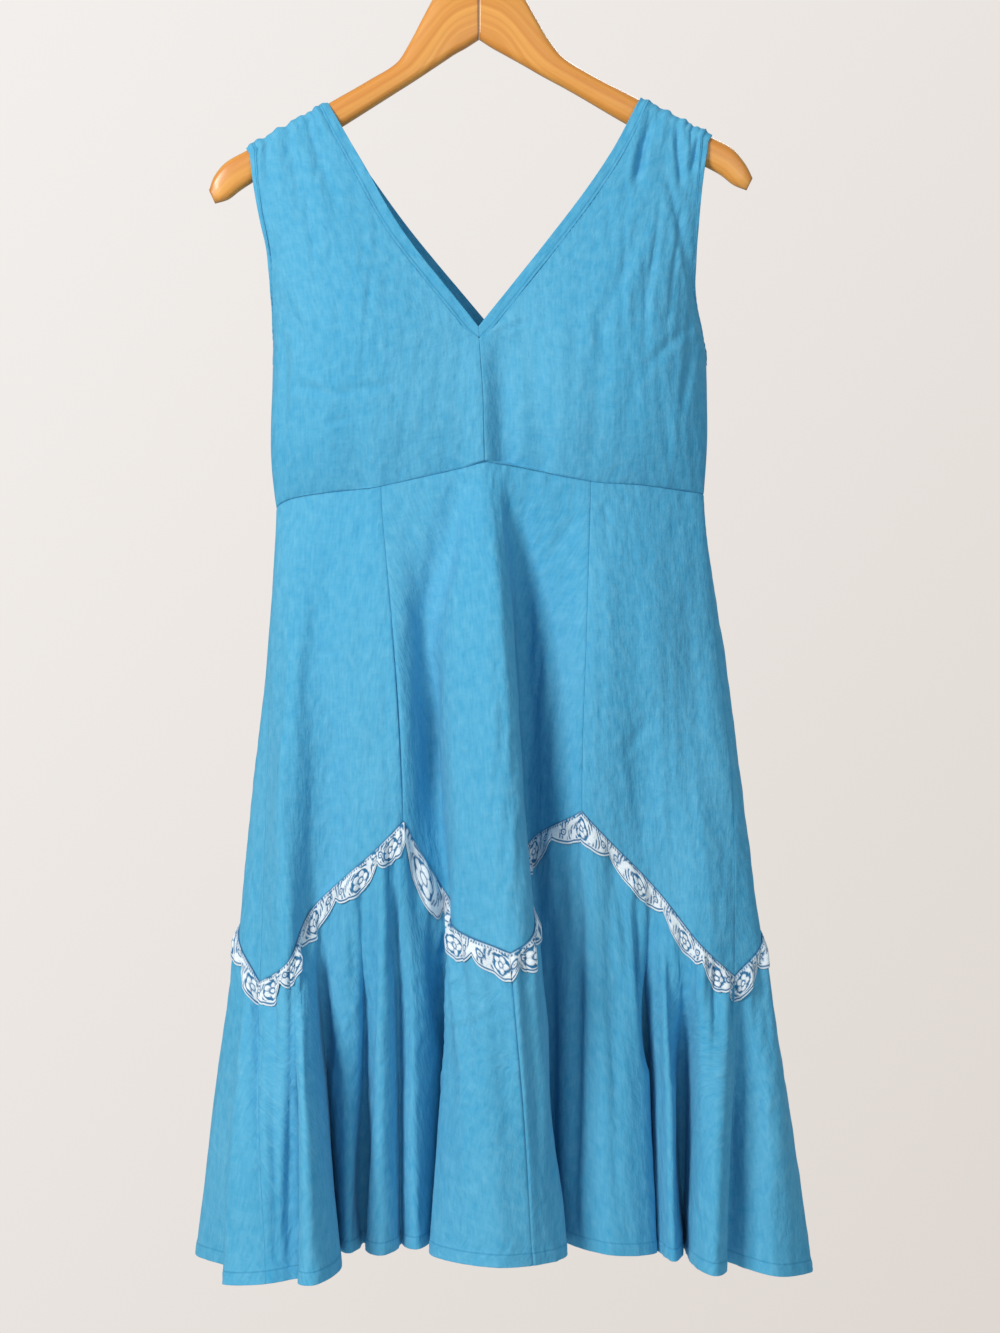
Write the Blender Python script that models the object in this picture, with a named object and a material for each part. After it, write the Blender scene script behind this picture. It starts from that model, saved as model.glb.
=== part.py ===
"""A midi dress on a wooden hanger, built from cut and sewn walls of cloth.

Tables and functions are in millimetres and the meshes in metres. +Z is up, -Y is the front of the dress, and
the origin is the inside top of the hook, where a rail carries it. The skirt and its flounce are rings of
fold lines: a ring place u counts the lines of SKIRT_FOLDS from the left side seam, round the front to the
right one and back round behind, with a fraction between two lines.
"""

import math

import bpy
import numpy as np

MM = 0.001

# Driving sizes
CLOTH = 1.5
LACE = 1.0
SEAM = 0.3
FACET_INSET = 0.42
BAND = 7.5
LOW_Z = -915.0
HEM_MIDDLE_Z = -1122.0
HEM_SIDE_DROP = 26.0
HEM_HALF_WIDTH = 250.0
LACE_DROP = 23.0
LACE_START = 0.08
LACE_CLEARANCE = 0.6
LACE_SCALLOP = 4.0
SCALLOPS_PER_FOLD = 1.25
EDGE_LEAD = 0.6
FOLD_SWELL = np.array([1.0, 6.0, 0.0])
GATHER_HEIGHT = 4.7
GATHER_SPREAD = 1.25
GATHER_FADE = 3.0
GATHERS_PER_FOLD = 1.6
STRAP_GATHER = 1.4
STRAP_GATHERS = 4
STRAP_GATHER_RISE = 0.72
WAIST_BLEND_RISE = 0.22
SHARP_ANGLE = math.radians(40)
ARM_RADIUS = 6.5
HOOK_WIRE = 2.0
HOOK_BEND = 22.0
HOOK_FOOT_Z = -74.5
FERRULE = 4.5

# How far down the skirt its sections lie, from the waist seam at 0 to LOW_Z at 1
LEVELS = {"waist": 0.0, "mid": 0.27, "arch": 0.6, "low": 1.0}
WAIST_EASE = 0.07

# One row for each fold line of the skirt. The columns give its place at each level, and the height of the
# waist seam and of the skirt's zigzag lower edge on it.
FOLD_COLUMNS = (
    "waist_x", "waist_y", "waist_z", "mid_x", "mid_y", "arch_x", "arch_y", "low_x", "low_y", "edge_z"
)
SKIRT_FOLDS = {
    "left side seam": (-168, 0, -519, -171, -12, -174, -22, -178, -34, -908),
    "left lobe": (-154, -14, -513, -155, -36, -160, -50, -151, -58, -888),
    "left trough": (-122, -28, -509, -129, -41, -134, -38, -136, -30, -848),
    "left arch": (-93, -37, -507, -90, -56, -88, -58, -86, -44, -803),
    "left panel seam": (-79, -40, -505, -69, -60, -61, -60, -56, -42, -775),
    "cone trough": (-24, -43, -493, -43, -44, -33, -38, -16, -34, -838),
    "cone left": (-10, -46, -490, -16, -72, -16, -82, -20, -74, -858),
    "cone crest": (5, -48, -486, 12, -88, 18, -104, 28, -108, -874),
    "cone right": (14, -47, -487.5, 25, -76, 35, -86, 49, -88, -857),
    "deep trough": (30, -43, -489.7, 33, -34, 37, -24, 44, -20, -799),
    "right panel seam": (91, -40, -501, 87, -60, 83, -60, 86, -44, -767),
    "right arch": (131, -30, -503, 134, -52, 137, -48, 142, -40, -826),
    "right lobe": (166, -14, -506, 174, -32, 181, -42, 180, -50, -877),
    "right side seam": (186, 0, -508, 194, -16, 207, -28, 208, -36, -903),
    "right flank": (176, 15, -508, 198, 8, 216, 0, 238, -10, -870),
    "back right lobe": (140, 34, -509, 168, 48, 188, 58, 200, 64, -815),
    "back right seam": (92, 42, -510, 108, 44, 116, 42, 122, 40, -770),
    "back right ridge": (46, 46, -510, 56, 62, 62, 72, 66, 76, -822),
    "back middle": (4, 45, -510, 8, 52, 10, 54, 12, 54, -884),
    "back left ridge": (-40, 46, -511, -46, 64, -50, 74, -54, 78, -824),
    "back left seam": (-86, 42, -513, -98, 44, -104, 42, -110, 40, -772),
    "back left lobe": (-130, 32, -515, -150, 44, -162, 56, -172, 60, -818),
    "left flank": (-159, 14, -518, -172, 9, -188, 8, -203, 4, -868),
}
FOLD = dict(zip(FOLD_COLUMNS, np.array(list(SKIRT_FOLDS.values()), float).T))
RING = len(SKIRT_FOLDS)
LINE = {name: place for place, name in enumerate(SKIRT_FOLDS)}
LEFT_SEAM, LEFT_PEAK, FRONT_POINT = LINE["left side seam"], LINE["left panel seam"], LINE["cone crest"]
RIGHT_PEAK, RIGHT_SEAM = LINE["right panel seam"], LINE["right side seam"]
BACK_RIGHT_PEAK, BACK_LEFT_PEAK = LINE["back right seam"], LINE["back left seam"]
BACK_POINT = LINE["back middle"]
CORNERS = (
    LEFT_SEAM, LEFT_PEAK, FRONT_POINT, RIGHT_PEAK, RIGHT_SEAM, BACK_RIGHT_PEAK, BACK_POINT, BACK_LEFT_PEAK,
    RING,
)

# One row for each fold of the flounce at its hem: the ring places above its left edge, crest and right edge,
# its edges in x, how far out its crest is, and the hollow after it. Where an edge lies past the hollow, the
# fold overlaps.
HEM_FOLDS = (
    # name, u left, u crest, u right, x left, x right, y crest, hollow x, hollow y
    ("left outer", -0.35, -0.20, 1.30, -202, -143, -93, -133, -84),
    ("left inner", 1.50, 1.65, 1.85, -140, -110, -112, -119, -4),
    ("left arch outer", 2.25, 2.45, 2.70, -112, -97, -34, -95, -8),
    ("left arch", 2.95, 3.20, 3.50, -90, -68, -48, -64, -18),
    ("left arch inner", 3.80, 4.10, 4.50, -58, -40, -38, -29, 13),
    ("centre cone", 5.20, 6.20, 8.00, -37, 69, -95, 60, 15),
    ("right arch", 9.90, 10.30, 10.80, 77, 145, -38, 139, 22),
    ("right arch outer", 11.05, 11.20, 11.35, 150, 166, -36, 171, 16),
    ("right seam fold", 11.90, 12.50, 13.00, 174, 200, -62, 202, -14),
    ("right flank", 13.30, 13.60, 13.90, 222, 262, -36, 277, 6),
    ("back right outer", 14.40, 14.80, 15.20, 262, 206, 84, 172, 46),
    ("back right inner", 16.00, 16.40, 16.80, 142, 84, 100, 56, 52),
    ("back middle", 17.60, 18.00, 18.40, 24, -34, 98, -64, 50),
    ("back left inner", 19.30, 19.80, 20.30, -94, -150, 96, -178, 44),
    ("back left outer", 21.20, 21.60, 22.00, -206, -238, 62, -193, -46),
)
EDGE_SHARE = 0.35

# One row for each section of a bodice panel, from the waist seam at rise 0 to the top of the strap at rise 1.
# The inner end is the middle seam, then the neckline, and the outer end the side seam, then the armhole.
ROW_COLUMNS = ("rise", "inner_x", "inner_z", "inner_depth", "outer_x", "outer_z", "outer_depth", "fullness")
NECK_RISE = 0.42
MITRE_RISE = 0.03
WRAP_RISE = 0.12
WAIST_SHARES = np.linspace(0, 1, 41)
FRONT_LEFT = (
    (0.00, 5, -486, 48, -168, -519, 0, 0),
    (0.20, 4, -440, 52, -172, -471, 0, 10),
    (NECK_RISE, 0, -377.5, 50, -170, -390, 0, 16),
    (0.66, -66, -291, 38, -173, -320, 13, 9),
    (0.79, -91, -246, 27, -181, -279, 15, 5),
    (0.89, -106, -219, 16, -186, -252, 12, 2),
    (1.00, -122, -190, 7.6, -189.5, -228, 7.6, 0),
)
FRONT_RIGHT = (
    (0.00, 5, -486, 48, 186, -508, 0, 0),
    (0.20, 4, -440, 52, 189, -461, 0, 10),
    (NECK_RISE, 0, -377.5, 50, 188, -392, 0, 16),
    (0.66, 60, -300, 38, 178, -331, 13, 9),
    (0.79, 91, -257, 27, 181, -283, 15, 5),
    (0.89, 112, -223, 16, 185, -247, 12, 2),
    (1.00, 130.5, -186.7, 7.6, 189.5, -217.7, 7.6, 0),
)
BACK_LEFT = (
    (0.00, 4, -510, 45, -168, -519, 0, 0),
    (0.20, 4, -450, 42, -172, -471, 0, 4),
    (NECK_RISE, 4, -357, 36, -170, -390, 0, 5),
    (0.66, -60, -281, 28, -173, -320, 13, 3),
    (0.79, -88.5, -243, 20, -181, -279, 15, 2),
    (0.89, -106, -219, 13, -186, -252, 12, 1),
    (1.00, -122, -190, 7.6, -189.5, -228, 7.6, 0),
)
BACK_RIGHT = (
    (0.00, 4, -510, 45, 186, -508, 0, 0),
    (0.20, 4, -450, 42, 189, -461, 0, 4),
    (NECK_RISE, 4, -357, 36, 188, -392, 0, 5),
    (0.66, 58, -297, 28, 178, -331, 13, 3),
    (0.79, 89, -257, 20, 181, -283, 15, 2),
    (0.89, 112, -223, 13, 185, -247, 12, 1),
    (1.00, 130.5, -186.7, 7.6, 189.5, -217.7, 7.6, 0),
)

# One row for each section of a hanger arm, from the mitre in the middle to the tip: the points on its upper
# and lower edges, and the share of the full thickness.
ARM_LEFT = (
    # top x, top z, bottom x, bottom z, thickness
    (-0.15, -75, -0.15, -131, 1.0),
    (-20, -79, -11, -138, 1.0),
    (-34, -91, -20, -143, 1.0),
    (-45, -110, -29, -149, 1.0),
    (-56, -131, -38, -155, 1.0),
    (-68, -150, -50, -163, 1.0),
    (-89.6, -163.8, -72, -177, 1.0),
    (-125.3, -184.3, -113, -203, 1.0),
    (-193.4, -223.5, -181, -245, 1.0),
    (-210, -233, -198, -256, 1.0),
    (-220, -245, -209, -264, 0.9),
    (-224, -256, -219, -267, 0.55),
)
ARM_RIGHT = (
    (0.15, -75, 0.15, -131, 1.0),
    (20, -79, 11, -138, 1.0),
    (34, -91, 20, -143, 1.0),
    (46, -111, 29, -148, 1.0),
    (57, -130, 38, -153, 1.0),
    (70, -146, 50, -160, 1.0),
    (88.8, -158, 74, -173, 1.0),
    (133.6, -181.3, 122, -201, 1.0),
    (192.6, -212, 181, -233, 1.0),
    (210, -221.5, 200, -243, 1.0),
    (222, -236, 212, -252, 0.9),
    (227, -246, 222, -256, 0.55),
)

# Colours as the red, green and blue of linear light
BLUE = (0.075, 0.38, 0.62)
WHITE = (0.80, 0.84, 0.88)
WOOD = (0.62, 0.28, 0.08)
STEEL = (0.55, 0.56, 0.57)


def clear_scene():
    """Removes every object, mesh and material of the startup scene."""
    for held in (bpy.data.objects, bpy.data.meshes, bpy.data.materials):
        for item in list(held):
            held.remove(item)


def slopes_of(knots, rows, steady):
    """The slope at each knot: that of the chord across it, or, if steady, one that never overshoots."""
    if not steady:
        return np.gradient(rows, knots, axis=0)
    chord = np.diff(rows) / np.diff(knots)
    same_way = chord[1:] * chord[:-1] > 0
    both = np.where(same_way, chord[1:] + chord[:-1], 1.0)
    inside = np.where(same_way, 2 * chord[1:] * chord[:-1] / both, 0.0)
    return np.concatenate([chord[:1], inside, chord[-1:]])


def smooth(at, knots, rows, steady=False):
    """Cubic spans through a column of a table. Each row is a number, or an array of the shape of at."""
    knots = np.asarray(knots, float)
    rows = np.asarray(rows, float)
    at = np.clip(np.asarray(at, float), knots[0], knots[-1])
    slopes = slopes_of(knots, rows, steady)
    span = np.clip(np.searchsorted(knots, at, side="right") - 1, 0, len(knots) - 2)
    width = knots[span + 1] - knots[span]
    part = (at - knots[span]) / width

    def pick(table, place):
        return table[place] if table.ndim == 1 else np.take_along_axis(table, place[None], 0)[0]

    near = (1 - part) ** 2
    far = part**2
    start = (1 + 2 * part) * near * pick(rows, span) + part * near * width * pick(slopes, span)
    end = (3 - 2 * part) * far * pick(rows, span + 1) - (1 - part) * far * width * pick(slopes, span + 1)
    return start + end


def around(column, u):
    """A column of SKIRT_FOLDS at ring places u, smooth and closed."""
    lines = np.arange(-3, RING + 4)
    return smooth(np.mod(u, RING), lines, FOLD[column][lines % RING])


def skirt_at(q, u):
    """The skirt's middle surface, q of the way from the waist seam down to LOW_Z on ring place u."""
    eased = q * (1 - np.exp(-q / WAIST_EASE))
    levels = list(LEVELS.values())
    x = smooth(eased, levels, [around(name + "_x", u) for name in LEVELS])
    y = smooth(eased, levels, [around(name + "_y", u) for name in LEVELS])
    waist_z = around("waist_z", u)
    return np.stack([x, y, waist_z + q * (LOW_Z - waist_z)], axis=-1)


def edge_share(u):
    """How far down the skirt its zigzag edge is on ring place u: smooth, with a corner at each of CORNERS."""
    place = np.mod(u, RING)
    height = np.zeros_like(place)
    for first, last in zip(CORNERS, CORNERS[1:]):
        lines = np.arange(first, last + 1)
        inside = (place >= first) & (place <= last)
        height = np.where(inside, smooth(place, lines, FOLD["edge_z"][lines % RING], steady=True), height)
    waist_z = around("waist_z", u)
    return (height - waist_z) / (LOW_Z - waist_z)


def hem_knots():
    """Ring places, x and y of the hem's control points: each fold's two edges, its crest and its hollow."""
    places, xs, ys = [], [], []
    for number, fold in enumerate(HEM_FOLDS):
        u_left, u_crest, u_right, x_left, x_right, y_crest, x_hollow, y_hollow = fold[1:]
        y_before = HEM_FOLDS[number - 1][-1]
        last = number + 1 == len(HEM_FOLDS)
        next_left = HEM_FOLDS[0][1] + RING if last else HEM_FOLDS[number + 1][1]
        places += [u_left, u_crest, u_right, (u_right + next_left) / 2]
        xs += [x_left, (x_left + x_right) / 2, x_right, x_hollow]
        ys += [
            y_crest + EDGE_SHARE * (y_before - y_crest),
            y_crest,
            y_crest + EDGE_SHARE * (y_hollow - y_crest),
            y_hollow,
        ]
    return np.array(places), np.array(xs, float), np.array(ys, float)


HEM_PLACES, HEM_X, HEM_Y = hem_knots()
HEM_COUNT = len(HEM_PLACES)


def hem_column(column, k):
    """A hem column at hem place k, which counts the hem's control points, smooth and closed."""
    knots = np.arange(-3, HEM_COUNT + 4)
    return smooth(np.mod(k, HEM_COUNT), knots, column[knots % HEM_COUNT])


def ring_place(k):
    """The ring place above hem place k."""
    knots = np.arange(-3, HEM_COUNT + 4)
    turns = knots // HEM_COUNT
    return smooth(k, knots, HEM_PLACES[knots % HEM_COUNT] + turns * RING, steady=True)


def hem_place(u):
    """The hem place below ring place u."""
    k = np.linspace(-2, HEM_COUNT + 3, 40 * HEM_COUNT)
    return float(np.interp(u, ring_place(k), k))


def flounce_at(w, k):
    """The flounce's middle surface, w of the way from the zigzag edge to the hem.

    It leaves the edge partly in the skirt's own direction, then swells early into the hem's folds.
    """
    u = ring_place(k)
    share = edge_share(u)
    step = 0.02
    top = skirt_at(share, u)
    slope = top - skirt_at(share - step, u)
    hem_x = hem_column(HEM_X, k)
    hem_z = HEM_MIDDLE_Z - HEM_SIDE_DROP * (np.abs(hem_x) / HEM_HALF_WIDTH) ** 1.6
    hem = np.stack([hem_x, hem_column(HEM_Y, k), hem_z], axis=-1)
    way = hem - top
    onward = slope * way[..., 2:] / slope[..., 2:]
    w = np.broadcast_to(w, way.shape[:-1])[..., None]
    lead = EDGE_LEAD * (onward - way) * w * (1 - w) ** 2
    return top + way * w + lead + FOLD_SWELL * way * (w * (1 - w)) ** 2


def flounce_relief(w, k):
    """The gathers sewn into the flounce's upper edge, which fade towards the hem."""
    wave = np.sin(2 * math.pi * GATHERS_PER_FOLD * ring_place(k))
    swell = np.sin(math.pi * np.clip(w * GATHER_SPREAD, 0, 1))
    return GATHER_HEIGHT * wave * swell * np.exp(-GATHER_FADE * w)


def lace_reach(k):
    """How far down the flounce the lace reaches, as a share of it: rounded scallops along its lower edge."""
    lobe = np.abs(np.sin(math.pi * SCALLOPS_PER_FOLD * ring_place(k)))
    drop = LACE_DROP - LACE_SCALLOP + 2 * LACE_SCALLOP * np.sqrt(lobe)
    length = flounce_at(0.0, k)[..., 2] - flounce_at(1.0, k)[..., 2]
    return drop / length


class Bodice:
    """One bodice panel with its share of the neck band and the armhole band."""

    def __init__(self, rows, toward):
        """rows is one of the bodice tables, and toward is -1 at the front and 1 at the back."""
        self.table = dict(zip(ROW_COLUMNS, np.array(rows, float).T))
        self.toward = toward
        self.side = math.copysign(1, self.table["outer_x"][0])
        u = np.linspace(LEFT_SEAM, RIGHT_SEAM, 400) if toward < 0 else np.linspace(RING, RIGHT_SEAM, 400)
        ring_x = skirt_at(np.zeros_like(u), u)[:, 0]
        order = np.argsort(ring_x)
        turn = np.sin(WAIST_SHARES * math.pi / 2)
        x = self.table["inner_x"][0] * (1 - turn) + self.table["outer_x"][0] * turn
        self.waist_places = np.interp(x, ring_x[order], u[order])

    def column(self, name, rise):
        """A column of the panel's table at a rise, with a corner at NECK_RISE in its edges."""
        knots, rows = self.table["rise"], self.table[name]
        if not name.endswith(("_x", "_z")):
            return smooth(rise, knots, rows, steady=True)
        corner = list(knots).index(NECK_RISE)
        below = smooth(rise, knots[: corner + 1], rows[: corner + 1], steady=True)
        above = smooth(rise, knots[corner:], rows[corner:], steady=True)
        return np.where(rise < NECK_RISE, below, above)

    def width(self, rise):
        """The length of a section from its inner end to its outer end."""
        across = self.column("outer_x", rise) - self.column("inner_x", rise)
        down = self.column("outer_z", rise) - self.column("inner_z", rise)
        return np.hypot(across, down)

    def at(self, rise, s):
        """The panel's middle surface, s of the way across from the inner end.

        A section is a quarter ellipse in plan, so that front and back meet square at the side seam. It turns
        into the skirt's waist ring at the bottom, and above rise 1 it goes over the top of the hanger's arm.
        """
        rise, s = np.broadcast_arrays(np.asarray(rise, float), np.asarray(s, float))
        low = np.clip(rise, 0, 1)
        turned = np.clip((1 - low) / (1 - NECK_RISE), 0, 1) ** 0.5
        angle = s * math.pi / 2
        across = s + turned * (np.sin(angle) - s)
        inward = (1 - s) + turned * (np.cos(angle) - (1 - s))
        x = self.column("inner_x", low) * (1 - across) + self.column("outer_x", low) * across
        z = self.column("inner_z", low) * (1 - across) + self.column("outer_z", low) * across
        outer = self.column("outer_depth", low)
        depth = outer + (self.column("inner_depth", low) - outer) * inward
        depth = depth + self.column("fullness", low) * np.sin(math.pi * np.clip(s, 0, 1)) ** 1.5
        part = np.clip(low / WAIST_BLEND_RISE, 0, 1)
        blend = (part**2 * (3 - 2 * part))[..., None]
        waist = skirt_at(np.zeros_like(s), smooth(s, WAIST_SHARES, self.waist_places))
        below = waist + (np.stack([x, self.toward * depth, z], axis=-1) - waist) * blend
        turn = np.clip((rise - 1) / WRAP_RISE, 0, 1) * math.pi / 2
        lean = self.lean()
        radius = self.table["inner_depth"][-1]
        over = [
            x + lean[0] * radius * np.sin(turn),
            self.toward * radius * np.cos(turn),
            z + lean[1] * radius * np.sin(turn),
        ]
        return np.where((rise > 1)[..., None], np.stack(over, axis=-1), below)

    def lean(self):
        """The way out of the arm's upper edge, square to it in the plane of the hanger."""
        across = self.table["outer_x"][-1] - self.table["inner_x"][-1]
        down = self.table["outer_z"][-1] - self.table["inner_z"][-1]
        length = math.hypot(across, down)
        return -down / length * self.side, abs(across) / length

    def relief(self, rise, s):
        """Gathers drawn up into the shoulder, which stand out from the arm and fade down the strap."""
        fade = np.clip((rise - STRAP_GATHER_RISE) / 0.25, 0, 1) ** 1.5
        return STRAP_GATHER * (0.5 - 0.5 * np.cos(2 * math.pi * STRAP_GATHERS * s)) * fade

    def rises(self, from_rise, count):
        """Sections from a rise up to the crest of the arm, closer together where the strap turns over it."""
        below = np.linspace(from_rise, 1, count)
        over = 1 + WRAP_RISE * np.array([0.34, 0.67, 1.0])
        return np.concatenate([below, over])

    def edge(self, rise, width):
        """The share of a section taken by a band of this width, which tapers to a mitre under NECK_RISE."""
        taper = np.clip((rise - (NECK_RISE - MITRE_RISE)) / MITRE_RISE, 0, 1)
        return width * taper / self.width(np.clip(rise, 0, 1))


def make_material(name, colour, roughness, metallic=0.0):
    """A Principled material of one colour."""
    material = bpy.data.materials.new(name)
    material.use_nodes = True
    shader = material.node_tree.nodes["Principled BSDF"]
    shader.inputs["Base Color"].default_value = (*colour, 1.0)
    shader.inputs["Roughness"].default_value = roughness
    shader.inputs["Metallic"].default_value = metallic
    return material


def make_object(name, points, faces, colour, roughness, metallic=0.0):
    """A named object from points in millimetres and faces of any number of corners."""
    mesh = bpy.data.meshes.new(name)
    mesh.from_pydata((np.asarray(points).reshape(-1, 3) * MM).tolist(), [], [tuple(face) for face in faces])
    mesh.shade_smooth()
    mesh.set_sharp_from_angle(angle=SHARP_ANGLE)
    mesh.materials.append(make_material(name, colour, roughness, metallic))
    built = bpy.data.objects.new(name, mesh)
    bpy.context.collection.objects.link(built)


def pull_in(middle, inset):
    """Draws the four edges of a grid in, so that two pieces sewn together there stay clear of each other."""
    moved = middle.copy()
    for grid, out in ((middle, moved), (middle.swapaxes(0, 1), moved.swapaxes(0, 1))):
        for edge, beside in ((0, 1), (-1, -2)):
            way = grid[beside] - grid[edge]
            out[edge] += inset * way / np.linalg.norm(way, axis=-1, keepdims=True)
    return moved


def quads(first, second, third, fourth):
    """Faces of four corners from four arrays of point numbers."""
    return np.stack([first, second, third, fourth], axis=-1).reshape(-1, 4)


def cloth_wall(
    name, surface, down, across, relief=None, lift=0.0, thick=CLOTH, inset=SEAM / 2, colour=BLUE, flip=False
):
    """A closed wall of cloth over a grid of a middle surface.

    down and across are the surface's two parameters on the grid. The wall lies lift outside the surface, that
    the relief raises, inset draws its edges in, and flip says that the parameters' own normal points inward.
    """
    down, across = np.broadcast_arrays(down, across)
    step = 1e-3
    middle = surface(down, across)
    downward = surface(down + step, across) - surface(down - step, across)
    sideways = surface(down, across + step) - surface(down, across - step)
    normal = np.cross(downward, sideways) * (-1 if flip else 1)
    normal /= np.linalg.norm(normal, axis=-1, keepdims=True)
    if relief is not None:
        middle = middle + relief(down, across)[..., None] * normal
    middle = pull_in(middle, inset)
    outer = middle + normal * (lift + thick / 2)
    inner = middle + normal * (lift - thick / 2)
    rows, columns = down.shape
    front = np.arange(rows * columns).reshape(rows, columns)
    back = front + rows * columns
    rim = np.concatenate([front[0], front[1:, -1], front[-1, -2::-1], front[-2::-1, 0]])
    faces = np.concatenate([
        quads(front[:-1, :-1], front[1:, :-1], front[1:, 1:], front[:-1, 1:]),
        quads(back[:-1, :-1], back[:-1, 1:], back[1:, 1:], back[1:, :-1]),
        quads(rim[:-1], rim[1:], rim[1:] + rows * columns, rim[:-1] + rows * columns),
    ])
    if flip:
        faces = faces[:, ::-1]
    make_object(name, np.stack([outer, inner]), faces.tolist(), colour, 0.85)


def build_skirt():
    """Six panels, sewn at the side seams and below the four peaks of the zigzag edge."""
    panels = (
        ("skirt_front_left", (LEFT_SEAM, LEFT_PEAK), (18,)),
        ("skirt_front_centre", (LEFT_PEAK, FRONT_POINT, RIGHT_PEAK), (16, 15)),
        ("skirt_front_right", (RIGHT_PEAK, RIGHT_SEAM), (14,)),
        ("skirt_back_right", (RIGHT_SEAM, BACK_RIGHT_PEAK), (13,)),
        ("skirt_back_centre", (BACK_RIGHT_PEAK, BACK_POINT, BACK_LEFT_PEAK), (8, 8)),
        ("skirt_back_left", (BACK_LEFT_PEAK, RING), (13,)),
    )
    rows = np.linspace(0, 1, 8)[:, None]
    for name, corners, counts in panels:
        u = split_range(corners, counts)[None, :]
        cloth_wall(name, skirt_at, rows * edge_share(u), u, inset=FACET_INSET)


def split_range(corners, counts):
    """Places from the first corner to the last: one at every corner, and counts steps between two corners."""
    parts = [np.linspace(a, b, n, endpoint=False) for a, b, n in zip(corners, corners[1:], counts)]
    ends = np.concatenate(parts + [[corners[-1]]]).astype(float)
    ends[-1] -= 1e-6
    return ends


def hem_range(corners, counts):
    """Hem places from the first corner to the last, with one below every corner, even in k and in u."""
    parts = []
    for first, last, count in zip(corners, corners[1:], counts):
        k = np.linspace(hem_place(first), hem_place(last), 400)
        u = ring_place(k)
        passed = (k - k[0]) / (k[-1] - k[0]) + (u - u[0]) / (u[-1] - u[0])
        parts.append(np.interp(np.linspace(0, 2, count + 1), passed, k))
    return np.unique(np.round(np.concatenate(parts), 6))


def build_flounce():
    """Four pieces sewn at the points of the zigzag, each under its strip of lace."""
    pieces = (
        ("front_left", (LEFT_SEAM, LEFT_PEAK, FRONT_POINT), (38, 16)),
        ("front_right", (FRONT_POINT, RIGHT_PEAK, RIGHT_SEAM), (16, 26)),
        ("back_right", (RIGHT_SEAM, BACK_RIGHT_PEAK, BACK_POINT), (18, 12)),
        ("back_left", (BACK_POINT, BACK_LEFT_PEAK, RING), (12, 20)),
    )
    rows = np.array([0, 0.035, 0.08, 0.2, 0.4, 0.7, 1.0])[:, None]
    for name, corners, counts in pieces:
        k = hem_range(corners, counts)[None, :]
        cloth_wall("flounce_" + name, flounce_at, rows, k, flounce_relief, inset=FACET_INSET)
        lace_rows = np.array([LACE_START, 0.5, 1.0])[:, None] * lace_reach(k)
        lift = CLOTH / 2 + LACE_CLEARANCE + LACE / 2
        cloth_wall("lace_" + name, flounce_at, lace_rows, k, flounce_relief, lift, LACE, colour=WHITE)


def build_bodice():
    """Four panels, each with a neck band and an armhole band along its free edges."""
    for name, rows, toward in (
        ("front_left", FRONT_LEFT, -1),
        ("front_right", FRONT_RIGHT, -1),
        ("back_left", BACK_LEFT, 1),
        ("back_right", BACK_RIGHT, 1),
    ):
        panel = Bodice(rows, toward)
        flip = toward * panel.side < 0
        lower = np.linspace(0, NECK_RISE - MITRE_RISE, 6)
        rise = np.concatenate([lower, panel.rises(NECK_RISE, 8)])[:, None]
        start = panel.edge(rise, BAND + SEAM)
        share = np.linspace(0, 1, 15 if toward < 0 else 12)[None, :]
        across = start + (1 - 2 * start) * share
        cloth_wall("bodice_" + name, panel.at, rise, across, panel.relief, inset=FACET_INSET, flip=flip)
        rise = np.concatenate([[NECK_RISE - MITRE_RISE / 2], panel.rises(NECK_RISE, 8)])[:, None]
        share = panel.edge(rise, BAND) * np.array([0.0, 1.0])[None, :]
        cloth_wall("neck_band_" + name, panel.at, rise, share, panel.relief, flip=flip)
        cloth_wall("armhole_band_" + name, panel.at, rise, 1 - share[:, ::-1], panel.relief, flip=flip)


def swept(name, rings, colour, roughness, metallic=0.0):
    """A closed solid from rings of points, with a flat cap at each end."""
    count, sides = rings.shape[:2]
    index = np.arange(count * sides).reshape(count, sides)
    beside = np.roll(index, -1, axis=1)
    faces = quads(index[:-1], beside[:-1], beside[1:], index[1:]).tolist()
    faces += [index[0][::-1].tolist(), index[-1].tolist()]
    make_object(name, rings, faces, colour, roughness, metallic)


def build_arm(name, sections):
    """One arm of the hanger: at each section, straight faces between two round edges."""
    table = np.array(sections, float)
    turn = np.arange(12) * 2 * math.pi / 12
    top, bottom = table[:, 0:2], table[:, 2:4]
    half = np.linalg.norm(top - bottom, axis=1) / 2
    upward = (top - bottom) / (2 * half[:, None])
    radius = np.minimum(ARM_RADIUS * table[:, 4], half)
    straight = (half - radius)[:, None] * np.sign(np.round(np.cos(turn), 6))
    along = straight + radius[:, None] * np.cos(turn)
    middle = (top + bottom) / 2
    x = middle[:, :1] + upward[:, :1] * along
    z = middle[:, 1:] + upward[:, 1:] * along
    y = radius[:, None] * np.sin(turn)
    rings = np.stack([x, y, z], axis=-1)
    if table[-1, 0] > 0:
        rings = rings[:, ::-1]
    swept(name, rings, WOOD, 0.35)


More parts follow.
